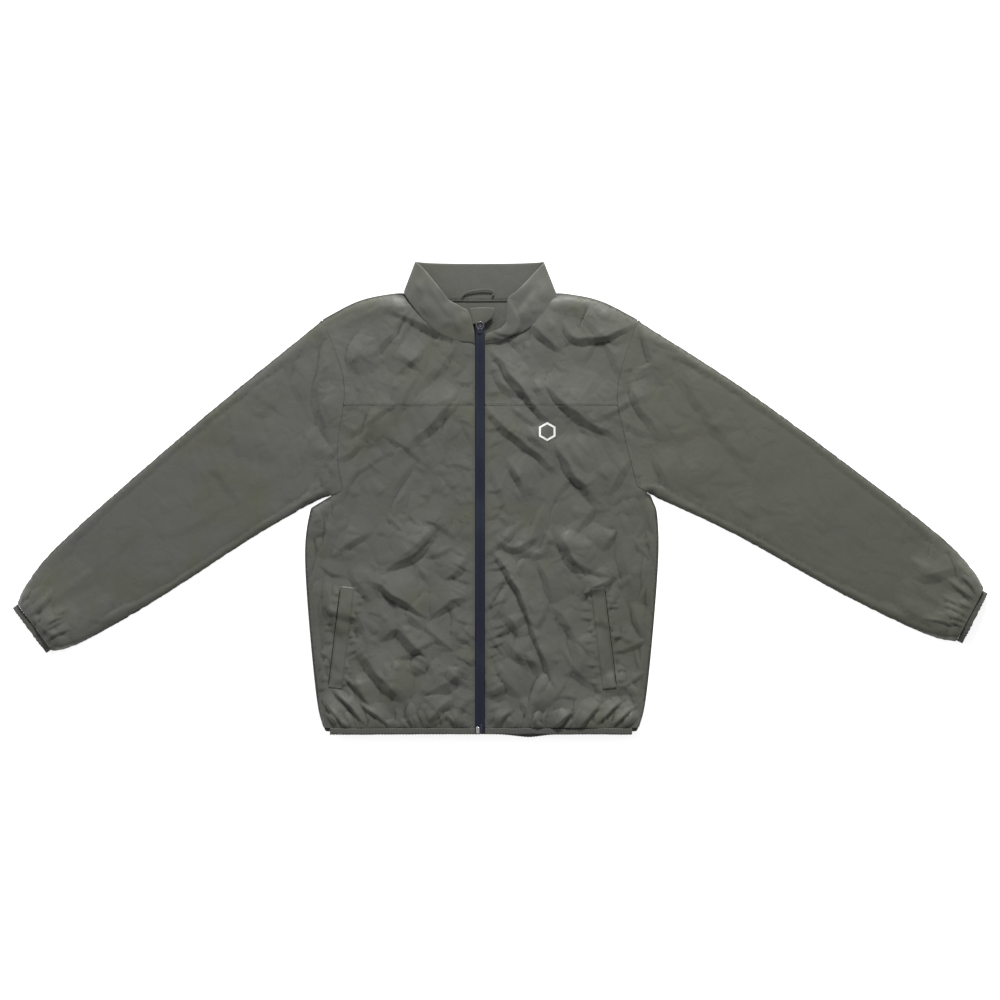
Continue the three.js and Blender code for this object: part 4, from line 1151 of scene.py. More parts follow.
def cloth_material(
    name, base, dark, olive, lilac,
    rough=(0.42, 0.56), pitch=0.0006, tint=0.5, sheen=0.1, crumple=0.13, size=0.034,
):
    """Woven cloth. Its coating leans to the olive and lilac colours, and the dark colour gives random mottle,
    weave pinholes and painted shade in hollows, creases and at sewn edges.
    """
    material = bpy.data.materials.new(name)
    material.use_nodes = True
    tree = material.node_tree
    shader = tree.nodes["Principled BSDF"]
    place = tree.nodes.new("ShaderNodeTexCoord").outputs["Object"]
    weave = use(tree, WEAVE, Vector=place, Pitch=pitch)
    coating = use(tree, COATING, Vector=place, Patch_Size=PATCH)
    creases = use(tree, CRUMPLE, Vector=place, Size=size, Warp=size * 0.9)
    fine = use(tree, CRUMPLE, Vector=place, Size=size * 0.36, Warp=size * 0.5)
    # Painted shade: the fold attribute, low in hollows and at sewn edges, mixes the dark colour into the
    # cloth.
    fold = tree.nodes.new("ShaderNodeAttribute")
    fold.attribute_name = "fold"
    hollow = tree.nodes.new("ShaderNodeMapRange")
    hollow.inputs["From Min"].default_value, hollow.inputs["From Max"].default_value = PAINTED_SHADE_FROM, PAINTED_SHADE_TO
    hollow.inputs["To Max"].default_value = PAINTED_SHADE_MOST
    tree.links.new(fold.outputs["Fac"], hollow.inputs["Value"])
    # The colour leans more to olive the further a point lies towards +X.
    across = tree.nodes.new("ShaderNodeSeparateXYZ")
    tree.links.new(place, across.inputs[0])
    side_tint = tree.nodes.new("ShaderNodeMapRange")
    side_tint.inputs["From Min"].default_value, side_tint.inputs["From Max"].default_value = SIDE_TINT_FROM, SIDE_TINT_TO
    side_tint.inputs["To Max"].default_value = SIDE_TINT_MOST
    tree.links.new(across.outputs["X"], side_tint.inputs["Value"])
    toned = maths(tree, "MAXIMUM", coating.outputs["Olive"], side_tint.outputs["Result"])
    color = mixed(tree, maths(tree, "MULTIPLY", toned, tint), base, olive)
    color = mixed(tree, maths(tree, "MULTIPLY", coating.outputs["Lilac"], tint * LILAC_SHARE), color, lilac)
    color = mixed(tree, maths(tree, "MULTIPLY", coating.outputs["Mottle"], MOTTLE_SHARE), color, dark)
    color = mixed(tree, hollow.outputs["Result"], color, dark)
    # Painted shade: a little dark colour along the crease lines of the crumple pattern.
    color = mixed(tree, maths(tree, "MULTIPLY", creases.outputs["Crease"], CREASE_SHADE_SHARE), color, dark)
    color = mixed(tree, maths(tree, "MULTIPLY", weave.outputs["Gap"], GAP_SHARE), color, dark)
    tree.links.new(color, shader.inputs["Base Color"])
    gloss = tree.nodes.new("ShaderNodeMapRange")
    gloss.inputs["To Min"].default_value, gloss.inputs["To Max"].default_value = rough
    tree.links.new(coating.outputs["Mottle"], gloss.inputs["Value"])
    tree.links.new(gloss.outputs["Result"], shader.inputs["Roughness"])
    shader.inputs["Sheen Weight"].default_value = sheen
    shader.inputs["Sheen Roughness"].default_value = 0.45
    shader.inputs["Specular IOR Level"].default_value = 0.28
    relief = maths(tree, "MULTIPLY", creases.outputs["Height"], crumple * BIG_CREASE * MM)
    small = maths(tree, "MULTIPLY", fine.outputs["Height"], crumple * SMALL_CREASE * MM)
    relief = maths(tree, "ADD", relief, small)
    relief = maths(tree, "ADD", relief, maths(tree, "MULTIPLY", weave.outputs["Height"], YARN))
    bump = tree.nodes.new("ShaderNodeBump")
    bump.inputs["Strength"].default_value = 1.0
    bump.inputs["Distance"].default_value = 1.0
    tree.links.new(relief, bump.inputs["Height"])
    tree.links.new(bump.outputs["Normal"], shader.inputs["Normal"])
    return material


# %% [markdown]
# ## The cloths of this jacket
# One finish function serves seven cloths, because they differ only in colour, yarn size, gloss and crumple.
# The knitted binding and the braid are coarser and matt, the coated zip tape is smooth and half glossy, and
# the lining is thin and dark, as it only shows through a pocket mouth.

# %% Cloths
shell = cloth_material(
    "nylon_shell",
    base=(0.122, 0.124, 0.110), dark=(0.044, 0.045, 0.039),
    olive=(0.106, 0.109, 0.068), lilac=(0.134, 0.128, 0.128),
)
inner_shell = cloth_material(
    "nylon_inside",
    base=(0.100, 0.102, 0.092), dark=(0.045, 0.046, 0.040),
    olive=(0.094, 0.096, 0.068), lilac=(0.108, 0.104, 0.102),
    crumple=0.2,
)
binding = cloth_material(
    "binding_knit",
    base=(0.108, 0.110, 0.098), dark=(0.026, 0.026, 0.023),
    olive=(0.062, 0.063, 0.044), lilac=(0.074, 0.071, 0.070),
    rough=(0.7, 0.85), pitch=0.0009, tint=0.3, sheen=0.3, crumple=0.12, size=0.012,
)
elastic = cloth_material(
    "elastic_braid",
    base=(0.020, 0.020, 0.020), dark=(0.008, 0.008, 0.008),
    olive=(0.024, 0.023, 0.018), lilac=(0.024, 0.022, 0.022),
    rough=(0.75, 0.9), pitch=0.0014, crumple=0.0,
)
lining = cloth_material(
    "pocket_lining",
    base=(0.040, 0.042, 0.038), dark=(0.012, 0.012, 0.011),
    olive=(0.040, 0.043, 0.030), lilac=(0.043, 0.040, 0.042),
    rough=(0.7, 0.9), pitch=0.0011, crumple=0.12,
)
# On the zip tape both olive and lilac are lighter than the base and tint is high, so its coating patches are
# partly painted highlight standing in for the tape's gloss.
navy = cloth_material(
    "coated_zip_tape",
    base=(0.019, 0.022, 0.040), dark=(0.008, 0.008, 0.013),
    olive=(0.026, 0.034, 0.050), lilac=(0.026, 0.020, 0.046),
    rough=(0.26, 0.40), pitch=0.0008, tint=0.8, sheen=0.05, crumple=0.0,
)
thread = cloth_material(
    "sewing_thread",
    base=(0.072, 0.073, 0.064), dark=(0.02, 0.02, 0.018),
    olive=(0.06, 0.062, 0.044), lilac=(0.062, 0.06, 0.06),
    rough=(0.5, 0.7), pitch=0.0003, crumple=0.0,
)
print("cloths:", *(m.name for m in (shell, inner_shell, binding, elastic, lining, navy, thread)))

# %% [markdown]
# ## Metal and ink
# The slider is dark zinc that has been handled, so it is speckled and a little uneven in gloss. Ink is a
# flat white that lets the weave through: its pinholes stay darker and its surface follows the yarns.

# %% Metals
WEAR_SCALE, WEAR_DEPTH = 900, 0.02 * MM


def metal_material(name, color, rough):
    material = bpy.data.materials.new(name)
    material.use_nodes = True
    tree = material.node_tree
    shader = tree.nodes["Principled BSDF"]
    place = tree.nodes.new("ShaderNodeTexCoord").outputs["Object"]
    wear = tree.nodes.new("ShaderNodeTexNoise")
    wear.inputs["Scale"].default_value = WEAR_SCALE
    wear.inputs["Detail"].default_value = 4
    tree.links.new(place, wear.inputs["Vector"])
    rubbed = tuple(min(1, c * 1.5 + 0.01) for c in color)
    tree.links.new(mixed(tree, wear.outputs["Fac"], color, rubbed), shader.inputs["Base Color"])
    shader.inputs["Metallic"].default_value = 1
    gloss = tree.nodes.new("ShaderNodeMapRange")
    gloss.inputs["To Min"].default_value, gloss.inputs["To Max"].default_value = rough
    tree.links.new(wear.outputs["Fac"], gloss.inputs["Value"])
    tree.links.new(gloss.outputs["Result"], shader.inputs["Roughness"])
    bump = tree.nodes.new("ShaderNodeBump")
    bump.inputs["Distance"].default_value = WEAR_DEPTH
    tree.links.new(wear.outputs["Fac"], bump.inputs["Height"])
    tree.links.new(bump.outputs["Normal"], shader.inputs["Normal"])
    return material


dark_metal = metal_material("dark_zinc", (0.10, 0.10, 0.125), (0.24, 0.42))
# The ring pull's zinc is given a lighter colour than the slider's.
ring_metal = metal_material("lighter_zinc", (0.26, 0.26, 0.29), (0.22, 0.38))
bright_metal = metal_material("bright_nickel", (0.78, 0.78, 0.80), (0.18, 0.34))


# %% Ink
def print_material():
    material = bpy.data.materials.new("white_print")
    material.use_nodes = True
    tree = material.node_tree
    shader = tree.nodes["Principled BSDF"]
    place = tree.nodes.new("ShaderNodeTexCoord").outputs["Object"]
    weave = use(tree, WEAVE, Vector=place, Pitch=0.0006)
    thin = maths(tree, "MULTIPLY", weave.outputs["Gap"], 0.5)
    tree.links.new(mixed(tree, thin, (0.93, 0.93, 0.91), (0.62, 0.62, 0.6)), shader.inputs["Base Color"])
    shader.inputs["Roughness"].default_value = 0.45
    bump = tree.nodes.new("ShaderNodeBump")
    bump.inputs["Distance"].default_value = YARN
    tree.links.new(weave.outputs["Height"], bump.inputs["Height"])
    tree.links.new(bump.outputs["Normal"], shader.inputs["Normal"])
    return material


ink = print_material()
print("metals and ink:", dark_metal.name, ring_metal.name, bright_metal.name, ink.name)

# %% [markdown]
# ## Ribbons and bands
# Bindings, tapes, the hanger loop and seam allowances are all bands: one cross-section carried along a
# line. One helper sweeps a closed section along a path, with the band's width and thickness directions
# given at each point.

# %% Sweeping a band
def rounded_section(width, thick, corner=5, flat_steps=6):
    """Half-round edges and flat faces: a closed section in (across, up), counter-clockwise."""
    r = thick / 2
    half = width / 2 - r
    arc = np.linspace(-math.pi / 2, math.pi / 2, corner)
    right = [(half + r * math.cos(a), r * math.sin(a)) for a in arc]
    top = [(x, r) for x in np.linspace(half, -half, flat_steps + 1)[1:-1]]
    left = [(-x, -y) for x, y in right]
    low = [(-x, -y) for x, y in top]
    return np.array(right + top + left + low)


UP = (0, 0, 1)
ALONG_Y = (0, 1, 0)


def path_length(path):
    return float(np.linalg.norm(np.diff(path, axis=0), axis=1).sum())


def swept(name, path, across, section, up=UP, closed=False, shape=None):
    """A band along a path. shape(i, points) may move each ring of points."""
    path = np.asarray(path, float)
    across = np.broadcast_to(np.asarray(across, float), path.shape).copy()
    across /= np.linalg.norm(across, axis=1)[:, None]
    verts = []
    for i, (p, a, u) in enumerate(zip(path, across, np.broadcast_to(up, path.shape))):
        ring = np.array([p + a * s + u * t for s, t in section])
        if shape is not None:
            ring = shape(i, ring)
        verts.append(ring)
    count, size = len(path), len(section)
    faces = []
    for i in range(count if closed else count - 1):
        j = (i + 1) % count
        for k in range(size):
            m = (k + 1) % size
            faces.append((i * size + k, i * size + m, j * size + m, j * size + k))
    if not closed:
        faces += [tuple(range(size))[::-1], tuple((count - 1) * size + k for k in range(size))]
    piece = new_piece(name, np.vstack(verts), faces)
    bm = bmesh.new()
    bm.from_mesh(piece.data)
    bmesh.ops.recalc_face_normals(bm, faces=bm.faces)
    bm.to_mesh(piece.data)
    bm.free()
    return piece


def finish_piece(piece, material, body, slot, *stands_for):
    """Material, body and the frame nodes that a piece stands for; the slot is not used."""
    piece.data.materials.clear()
    piece.data.materials.append(material)
    if stands_for:
        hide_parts(*stands_for)
    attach(piece, body)


def wave(t, seed, lengths):
    """A wandering value from -1 to 1 along a length t in metres."""
    return sum(
        noise.noise(Vector((t / length, seed * 7.7, k * 3.3))) * 1.6 / (k + 1)
        for k, length in enumerate(lengths)
    )


print("a band's section has", len(rounded_section(10 * MM, 1 * MM)), "points")


# %% [markdown]
# ## Zip
# The front closes with a coated zip: two smooth navy tapes meet over a nylon coil, so from outside only a
# thin line shows. The coil itself runs on the inside. A coil is one tooth repeated, which is work for
# Geometry Nodes.

# %% Zip tapes
tape_low, tape_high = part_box("zip_tape_left")
tape_z = (tape_low[2] + tape_high[2]) / 2
for side, s in SIDES.items():
    inner, outer = 0.08 * MM, tape_high[0]
    width = outer - inner
    ys = np.arange(tape_low[1], tape_high[1], 3 * MM)
    middle_x = s * (inner + width / 2)
    waves = [0.25 * MM + 0.35 * MM * wave(y, 3, (0.07, 0.03)) for y in ys]
    path = np.array([(middle_x, y, tape_z + lift) for y, lift in zip(ys, waves)])

    def dome(i, ring, s=s, inner=inner, width=width):
        share = (np.abs(ring[:, 0]) - inner) / width
        ring[:, 2] += 0.3 * MM * np.cos(0.5 * np.pi * np.clip(share, 0, 1))
        return ring

    tape = swept(f"coated_tape_{side}", path, (s, 0, 0), rounded_section(width, 0.9 * MM, 5, 8), shape=dome)
    finish_piece(tape, navy, "torso", "zip_tape", f"zip_tape_{side}")
print("zip", round((tape_high[1] - tape_low[1]) / MM), "mm long")

# %% [markdown]
# ## Coil and stitches
# A coil turn and a sewing stitch are each one small shape repeated hundreds of times along a line. One node
# tree spreads copies along any polyline at a given spacing. The coil and all the topstitching use it.

# %% Spreading copies along a line
def node_tree(name, inputs):
    tree = bpy.data.node_groups.new(name, "GeometryNodeTree")
    tree.interface.new_socket("Geometry", in_out="INPUT", socket_type="NodeSocketGeometry")
    for label, kind, value in inputs:
        socket = tree.interface.new_socket(label, in_out="INPUT", socket_type=kind)
        if value is not None:
            socket.default_value = value
    tree.interface.new_socket("Geometry", in_out="OUTPUT", socket_type="NodeSocketGeometry")
    return tree, tree.nodes.new("NodeGroupInput"), tree.nodes.new("NodeGroupOutput")


def spread_along_line(name, make_unit, extra_inputs=()):
    """Copies of one small shape, evenly spaced along a mesh polyline and turned to follow it."""
    tree, ins, outs = node_tree(
        name,
        [("Spacing", "NodeSocketFloat", 0.003), ("Finish", "NodeSocketMaterial", None), *extra_inputs],
    )
    link = tree.links.new
    to_curve = tree.nodes.new("GeometryNodeMeshToCurve")
    link(ins.outputs["Geometry"], to_curve.inputs["Mesh"])
    points = tree.nodes.new("GeometryNodeCurveToPoints")
    points.mode = "LENGTH"
    link(to_curve.outputs["Curve"], points.inputs["Curve"])
    link(ins.outputs["Spacing"], points.inputs["Length"])
    place = tree.nodes.new("GeometryNodeInstanceOnPoints")
    link(points.outputs["Points"], place.inputs["Points"])
    link(points.outputs["Rotation"], place.inputs["Rotation"])
    link(make_unit(tree, ins), place.inputs["Instance"])
    realize = tree.nodes.new("GeometryNodeRealizeInstances")
    link(place.outputs["Instances"], realize.inputs["Geometry"])
    smooth = tree.nodes.new("GeometryNodeSetShadeSmooth")
    link(realize.outputs["Geometry"], smooth.inputs["Geometry"])
    finish = tree.nodes.new("GeometryNodeSetMaterial")
    link(smooth.outputs["Geometry"], finish.inputs["Geometry"])
    link(ins.outputs["Finish"], finish.inputs["Material"])
    link(finish.outputs["Geometry"], outs.inputs["Geometry"])
    return tree


# %% The repeated shapes
def capsule(tree, ins):
    """A stretched low ball, long in Z, which Curve to Points turns along the line."""
    ball = tree.nodes.new("GeometryNodeMeshUVSphere")
    ball.inputs["Segments"].default_value = 6
    ball.inputs["Rings"].default_value = 5
    ball.inputs["Radius"].default_value = 0.5
    shape = tree.nodes.new("GeometryNodeTransform")
    tree.links.new(ball.outputs["Mesh"], shape.inputs["Geometry"])
    size = tree.nodes.new("ShaderNodeCombineXYZ")
    tree.links.new(ins.outputs["Thickness"], size.inputs["X"])
    tree.links.new(ins.outputs["Thickness"], size.inputs["Y"])
    tree.links.new(ins.outputs["Stitch"], size.inputs["Z"])
    tree.links.new(size.outputs[0], shape.inputs["Scale"])
    return shape.outputs["Geometry"]


def coil_turn(tree, ins):
    """One turn of the coil: a flattened ring that stands across the line."""
    circle = tree.nodes.new("GeometryNodeCurvePrimitiveCircle")
    circle.inputs["Resolution"].default_value = 10
    circle.inputs["Radius"].default_value = 0.5
    flat = tree.nodes.new("GeometryNodeTransform")
    tree.links.new(circle.outputs["Curve"], flat.inputs["Geometry"])
    size = tree.nodes.new("ShaderNodeCombineXYZ")
    tree.links.new(ins.outputs["Turn Width"], size.inputs["X"])
    tree.links.new(ins.outputs["Turn Height"], size.inputs["Y"])
    size.inputs["Z"].default_value = 1
    tree.links.new(size.outputs[0], flat.inputs["Scale"])
    wire = tree.nodes.new("GeometryNodeCurvePrimitiveCircle")
    wire.inputs["Resolution"].default_value = 5
    tree.links.new(ins.outputs["Wire"], wire.inputs["Radius"])
    tube = tree.nodes.new("GeometryNodeCurveToMesh")
    tree.links.new(flat.outputs["Geometry"], tube.inputs["Curve"])
    tree.links.new(wire.outputs["Curve"], tube.inputs["Profile Curve"])
    return tube.outputs["Mesh"]


# %% Two trees and how to run them
STITCHES = spread_along_line(
    "stitch_run",
    capsule,
    [("Thickness", "NodeSocketFloat", 0.0005), ("Stitch", "NodeSocketFloat", 0.0024)],
)
COIL = spread_along_line(
    "coil_run",
    coil_turn,
    [
        ("Turn Width", "NodeSocketFloat", 0.0022),
        ("Turn Height", "NodeSocketFloat", 0.0011),
        ("Wire", "NodeSocketFloat", 0.0002),
    ],
)


def line_object(name, lines):
    """A mesh of open polylines."""
    verts, edges = [], []
    for line in lines:
        start = len(verts)
        verts += [tuple(p) for p in line]
        edges += [(start + i, start + i + 1) for i in range(len(line) - 1)]
    mesh = bpy.data.meshes.new(name)
    mesh.from_pydata(verts, edges, [])
    piece = bpy.data.objects.new(name, mesh)
    scene.collection.objects.link(piece)
    return piece


def run_along(name, lines, tree, material, body, slot, stands_for=(), **sizes):
    """Turns polylines into a plain mesh of repeated shapes with a node tree."""
    piece = line_object(name, lines)
    mod = piece.modifiers.new("run", "NODES")
    mod.node_group = tree
    sockets = {i.name: i.identifier for i in tree.interface.items_tree if i.in_out == "INPUT"}
    mod[sockets["Finish"]] = material
    for label, value in sizes.items():
        mod[sockets[label.replace("_", " ")]] = value
    applied([piece])
    finish_piece(piece, material, body, slot, *stands_for)
    return piece


# %% Coil by Geometry Nodes
COIL_INSET = 0.5 * MM
for side in SIDES:
    low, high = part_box(f"zip_coil_{side}")
    x, z = (low[0] + high[0]) / 2, (low[2] + high[2]) / 2
    coil = run_along(
        f"coil_{side}",
        [[(x, y, z) for y in np.arange(low[1] + COIL_INSET, high[1] - COIL_INSET, 5 * MM)]],
        COIL, navy, "torso", "zip_coil", (f"zip_coil_{side}",),
        Spacing=1.25 * MM, Wire=0.24 * MM,
        Turn_Width=high[0] - low[0] - COIL_INSET, Turn_Height=high[2] - low[2] - COIL_INSET,
    )
    print(coil.name, len(coil.data.polygons), "faces")

# %% [markdown]
# ## Metal parts of the zip
# The slider, the ring pull, the stops and the box at the foot are cast metal. Their shapes are already
# right in the frame, so we take a merged copy and only round its edges: real castings have no sharp edge,
# and it is the rounded edge that catches the light.

# %% Rounded castings
DISSOLVE, SHARP, SMOOTH = (math.radians(degrees) for degrees in (2, 30, 40))


def rounded_copy(node, name, width):
    """A merged copy of a frame node with bevelled edges."""
    bm = bmesh.new()
    bm.from_mesh(nodes[node].data)
    bmesh.ops.remove_doubles(bm, verts=bm.verts, dist=MERGE)
    bmesh.ops.dissolve_limit(bm, angle_limit=DISSOLVE, verts=bm.verts, edges=bm.edges)
    sharp = [e for e in bm.edges if len(e.link_faces) == 2 and e.calc_face_angle(0) > SHARP]
    bmesh.ops.bevel(bm, geom=sharp, offset=width, segments=2, profile=0.5, affect="EDGES", clamp_overlap=True)
    mesh = bpy.data.meshes.new(name)
    bm.to_mesh(mesh)
    bm.free()
    piece = bpy.data.objects.new(name, mesh)
    scene.collection.objects.link(piece)
    mesh.shade_smooth()
    mesh.set_sharp_from_angle(angle=SMOOTH)
    return piece


CASTINGS = [
    ("zip_slider", "slider_casting", 0.25 * MM, dark_metal, "slider", "dark_metal"),
    ("zip_retainer_box", "retainer_casting", 0.2 * MM, bright_metal, "torso", "bright_metal"),
    ("zip_insertion_pin", "pin_casting", 0.15 * MM, dark_metal, "torso", "dark_metal"),
]
CASTINGS += [
    (f"zip_top_stop_{side}", f"top_stop_casting_{side}", 0.12 * MM, dark_metal, "torso", "dark_metal")
    for side in SIDES
]
for node, name, bevel, metal, body, slot in CASTINGS:
    finish_piece(rounded_copy(node, name, bevel), metal, body, slot, node)
print(len(CASTINGS), "castings")

# %% Ring pull
ring_low, ring_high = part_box("zip_pull_ring")
ring_thick = ring_high[2] - ring_low[2]
ring_radius = (ring_high[0] - ring_low[0]) / 2 - ring_thick / 2
angles = np.linspace(0, 2 * math.pi, 64, endpoint=False)
ring_centre = np.array([(a + b) / 2 for a, b in zip(ring_low, ring_high)])
ring_across = np.stack([np.cos(angles), np.sin(angles), 0 * angles], 1)
ring_path = ring_centre + ring_across * ring_radius
turns = np.linspace(0, 2 * math.pi, 14, endpoint=False)
wire = np.array([(math.cos(a), math.sin(a)) for a in turns]) * ring_thick / 2
ring = swept("pull_ring_casting", ring_path, ring_across, wire, closed=True)
finish_piece(ring, ring_metal, "pull_ring", "dark_metal", "zip_pull_ring")
print("ring pull", round(2 * ring_radius / MM, 1), "mm across its middle")

# %% [markdown]
# ## Hem and cuff bindings
# A knitted binding holds the elastic at the hem and cuffs. Because the elastic is shorter than the cloth,
# the binding is pulled into small ribs. Each binding is one band whose rings swell and shrink along its
# length, and the elastic is a flat braid in the middle of it.

# %% Ribs and elastic
RIB = 4.6 * MM
STEP = RIB / 4
ELASTIC_WIDE, ELASTIC_THICK, ELASTIC_CUT = 6.4 * MM, 0.8 * MM, 10 * MM


def gathered(seed, strength=1.0):
    """Makes a shape function that ribs a band and lets it wander a little."""

    def shape(i, ring):
        t = i * RIB / 4
        middle = ring.mean(0)
        rib = 1 + 0.10 * strength * math.sin(2 * math.pi * i / 4 + 1.3 * wave(t, seed, (0.02,)))
        swell = 1 + 0.16 * strength * math.sin(2 * math.pi * i / 4)
        ring = middle + (ring - middle) * np.array([rib, rib, swell])
        ring[:, 1] += 0.55 * MM * strength * wave(t, seed + 1, (0.05, 0.02))
        ring[:, 2] += 0.35 * MM * strength * wave(t, seed + 2, (0.03, 0.012))
        return ring

    return shape


def elastic_inside(node, path, across, up, body, closed=False):
    """The flat elastic in the middle of a binding."""
    name = node.replace("elastic", "elastic_braid")
    core = swept(name, path, across, rounded_section(ELASTIC_WIDE, ELASTIC_THICK, 3, 2), up=up, closed=closed)
    finish_piece(core, elastic, body, "elastic_web", node)


# %% Hem bindings
FRONT_THICK, BACK_THICK, FRONT_LOWEST = 2.4 * MM, 2.2 * MM, 4.2 * MM
for side, s in SIDES.items():
    low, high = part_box(f"hem_binding_front_{side}")
    wide = high[1] - low[1]
    x0, x1 = sorted((abs(low[0]), abs(high[0])))
    xs = np.arange(x0, x1, STEP)
    middle_y = (low[1] + high[1]) / 2
    plan = np.column_stack([s * xs, np.full(len(xs), middle_y)])
    path = np.column_stack([plan, np.clip(crown(plan), FRONT_LOWEST, None)])
    section = rounded_section(wide, FRONT_THICK, 6, 6)
    band = swept(f"hem_band_front_{side}", path, ALONG_Y, section, shape=gathered(11 + s))
    finish_piece(band, binding, "torso", "binding_cloth", f"hem_binding_front_{side}")
    length = float(x1 - x0)
    elastic_inside(f"hem_elastic_front_{side}", path[2:-2], ALONG_Y, UP, "torso")
low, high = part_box("hem_binding_back")
wide, long = high[1] - low[1], high[0] - low[0]
xs = np.arange(low[0], high[0], STEP)
dips = 3.6 * MM * np.exp(-(((xs - 0.074) / 0.024) ** 2)) - 0.8 * MM * np.exp(-(((xs + 0.02) / 0.05) ** 2))
path = np.column_stack([xs, (low[1] + high[1]) / 2 + 4.6 * MM - dips, np.full(len(xs), 1.5 * MM)])
band = swept("hem_band_back", path, ALONG_Y, rounded_section(wide, BACK_THICK, 6, 6), shape=gathered(5, 0.8))
finish_piece(band, binding, "torso", "binding_cloth", "hem_binding_back")
elastic_inside("hem_elastic_back", path[2:-2], ALONG_Y, UP, "torso")

# %% [markdown]
# ## Cuffs
# A cuff is the same ribbed band, closed into a loop round the sleeve's mouth. Lying down, the loop is
# flattened: full at its middle and low at its two ends, so its path is a squashed ring and not a circle.

# %% Cuff bindings
CUFF_WIDE, CUFF_THICK, CUFF_CUT = 8.6 * MM, 2.2 * MM, (18 * MM, 9 * MM)
CUFF_LOW = 1.5 * MM
for side, s in SIDES.items():
    middle, across, half = cuffs[side]
    outward = np.array([across[1], -across[0]]) * s
    low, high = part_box(f"cuff_binding_{side}")
    top = high[2] - 1.3 * MM
    half -= CUFF_THICK / 2 + 0.9 * MM
    count = int(4 * round(4.2 * half / RIB))
    ring_path = []
    for a in np.linspace(0, 2 * math.pi, count, endpoint=False):
        c, q = math.cos(a), math.sin(a)
        side_share = math.copysign(abs(c) ** 0.62, c)
        rise = (0.5 + 0.5 * math.copysign(abs(q) ** 0.8, q)) * (1 - 0.25 * abs(side_share) ** 3)
        height = CUFF_LOW + (top - CUFF_LOW) * rise
        place = middle + across * half * side_share
        ring_path.append((*place, height))
    ring_path = np.array(ring_path)
    tangent = np.roll(ring_path, -1, 0) - np.roll(ring_path, 1, 0)
    outside = np.cross(tangent, (*outward, 0))
    outside /= np.linalg.norm(outside, axis=1)[:, None]

    def ribbed(i, ring):
        centre = ring.mean(0)
        sway = outward * 0.4 * MM * wave(i * STEP, 31, (0.02, 0.01))
        return centre + (ring - centre) * (1 + 0.12 * math.sin(math.pi * i / 2)) + np.array([*sway, 0])

    section = rounded_section(CUFF_WIDE, CUFF_THICK, 6, 6)
    across = (*outward, 0)
    cuff = swept(f"cuff_band_{side}", ring_path, across, section, up=outside, closed=True, shape=ribbed)
    finish_piece(cuff, binding, f"arm_{side}", "binding_cloth", f"cuff_binding_{side}")
    length = path_length(ring_path)
    elastic_inside(f"cuff_elastic_{side}", ring_path, across, outside, f"arm_{side}", closed=True)
    print(cuff.name, round(length / MM), "mm round")

# %% [markdown]
# ## Collar
# The collar is a double band that stands up from the neck seam. Laid down, its back shows the inner face
# and its front shows the outer face, and both front ends stop beside the zip. It is drawn as two lines, the
# neck seam and the rim, with cloth stretched between them, because those two lines are what a cutter
# measures.

# %% Collar lines
# Each row holds the neck seam and the rim as (x, y, height) in mm, from the right front round the back.
COLLAR_ROWS = [
    ((-7.9, 235, 17.6), (-8.6, 255, 18.6)),
    ((-12, 237, 18.0), (-16.5, 284, 20.4)),
    ((-26, 238.5, 18.2), (-26, 291, 20.9)),
    ((-43, 242.5, 18.2), (-38, 298, 21.1)),
    ((-64.5, 252, 17.8), (-48, 304, 21.0)),
    ((-82.5, 267, 16.4), (-62, 322, 19.4)),
    ((-98, 285.5, 13.6), (-78, 342, 16.6)),
    ((-109.5, 302, 10.4), (-90, 355, 12.4)),
    ((-115.5, 315, 6.4), (-97.5, 361, 7.4)),
    ((-108, 314, 2.6), (-94, 361, 3.0)),
    ((-84, 306, 1.3), (-72, 359.5, 2.2)),
    ((-46, 303.5, 1.0), (-40, 358.8, 2.2)),
    ((0, 303, 1.0), (0, 358.6, 2.2)),
    ((46, 303.5, 1.0), (40, 358.8, 2.2)),
    ((84, 306, 1.3), (70, 359.5, 2.2)),
    ((108, 314, 2.6), (90, 360.5, 3.0)),
    ((117, 309, 6.4), (96.5, 360, 7.4)),
    ((114, 297, 10.8), (84, 346, 12.8)),
    ((105.5, 283.5, 14.4), (68, 329, 17.0)),
    ((92, 271.5, 16.8), (54, 315, 20.4)),
    ((78, 261.5, 18.0), (46, 309.5, 21.6)),
    ((63.5, 252.5, 18.4), (41.5, 302, 22.6)),
    ((50, 248.5, 19.2), (40.6, 284, 22.8)),
    ((40, 244.5, 19.0), (39, 269, 22.2)),
    ((28, 241, 18.8), (31, 259.5, 21.2)),
    ((16, 239.5, 18.5), (20, 255.5, 20.4)),
    ((10, 238.2, 18.0), (11, 252, 19.4)),
    ((7.9, 236, 17.6), (8.3, 247, 18.6)),
]


def along_rows(points, count):
    """Evenly parameterised Catmull-Rom through rows of 3-D points."""
    p = np.array(points, float)
    p = np.vstack([2 * p[0] - p[1], p, 2 * p[-1] - p[-2]])
    us = np.linspace(0, len(p) - 3, count)
    out = []
    for u in us:
        i = min(int(u), len(p) - 4)
        out.append(between(p[i : i + 4], u - i))
    return np.array(out)


def grid_piece(name, grid, thickness, levels=0):
    """A sheet of even thickness from a 2-D grid of points."""
    rows, cols = grid.shape[:2]
    faces = [
        (i * cols + j, i * cols + j + 1, (i + 1) * cols + j + 1, (i + 1) * cols + j)
        for i in range(rows - 1)
        for j in range(cols - 1)
    ]
    piece = new_piece(name, grid.reshape(-1, 3), faces)
    thick = piece.modifiers.new("thickness", "SOLIDIFY")
    thick.thickness = thickness
    thick.offset = 0
    thick.use_even_offset = False
    if levels:
        fine = piece.modifiers.new("finer", "SUBSURF")
        fine.levels = fine.render_levels = levels
    applied([piece])
    return piece


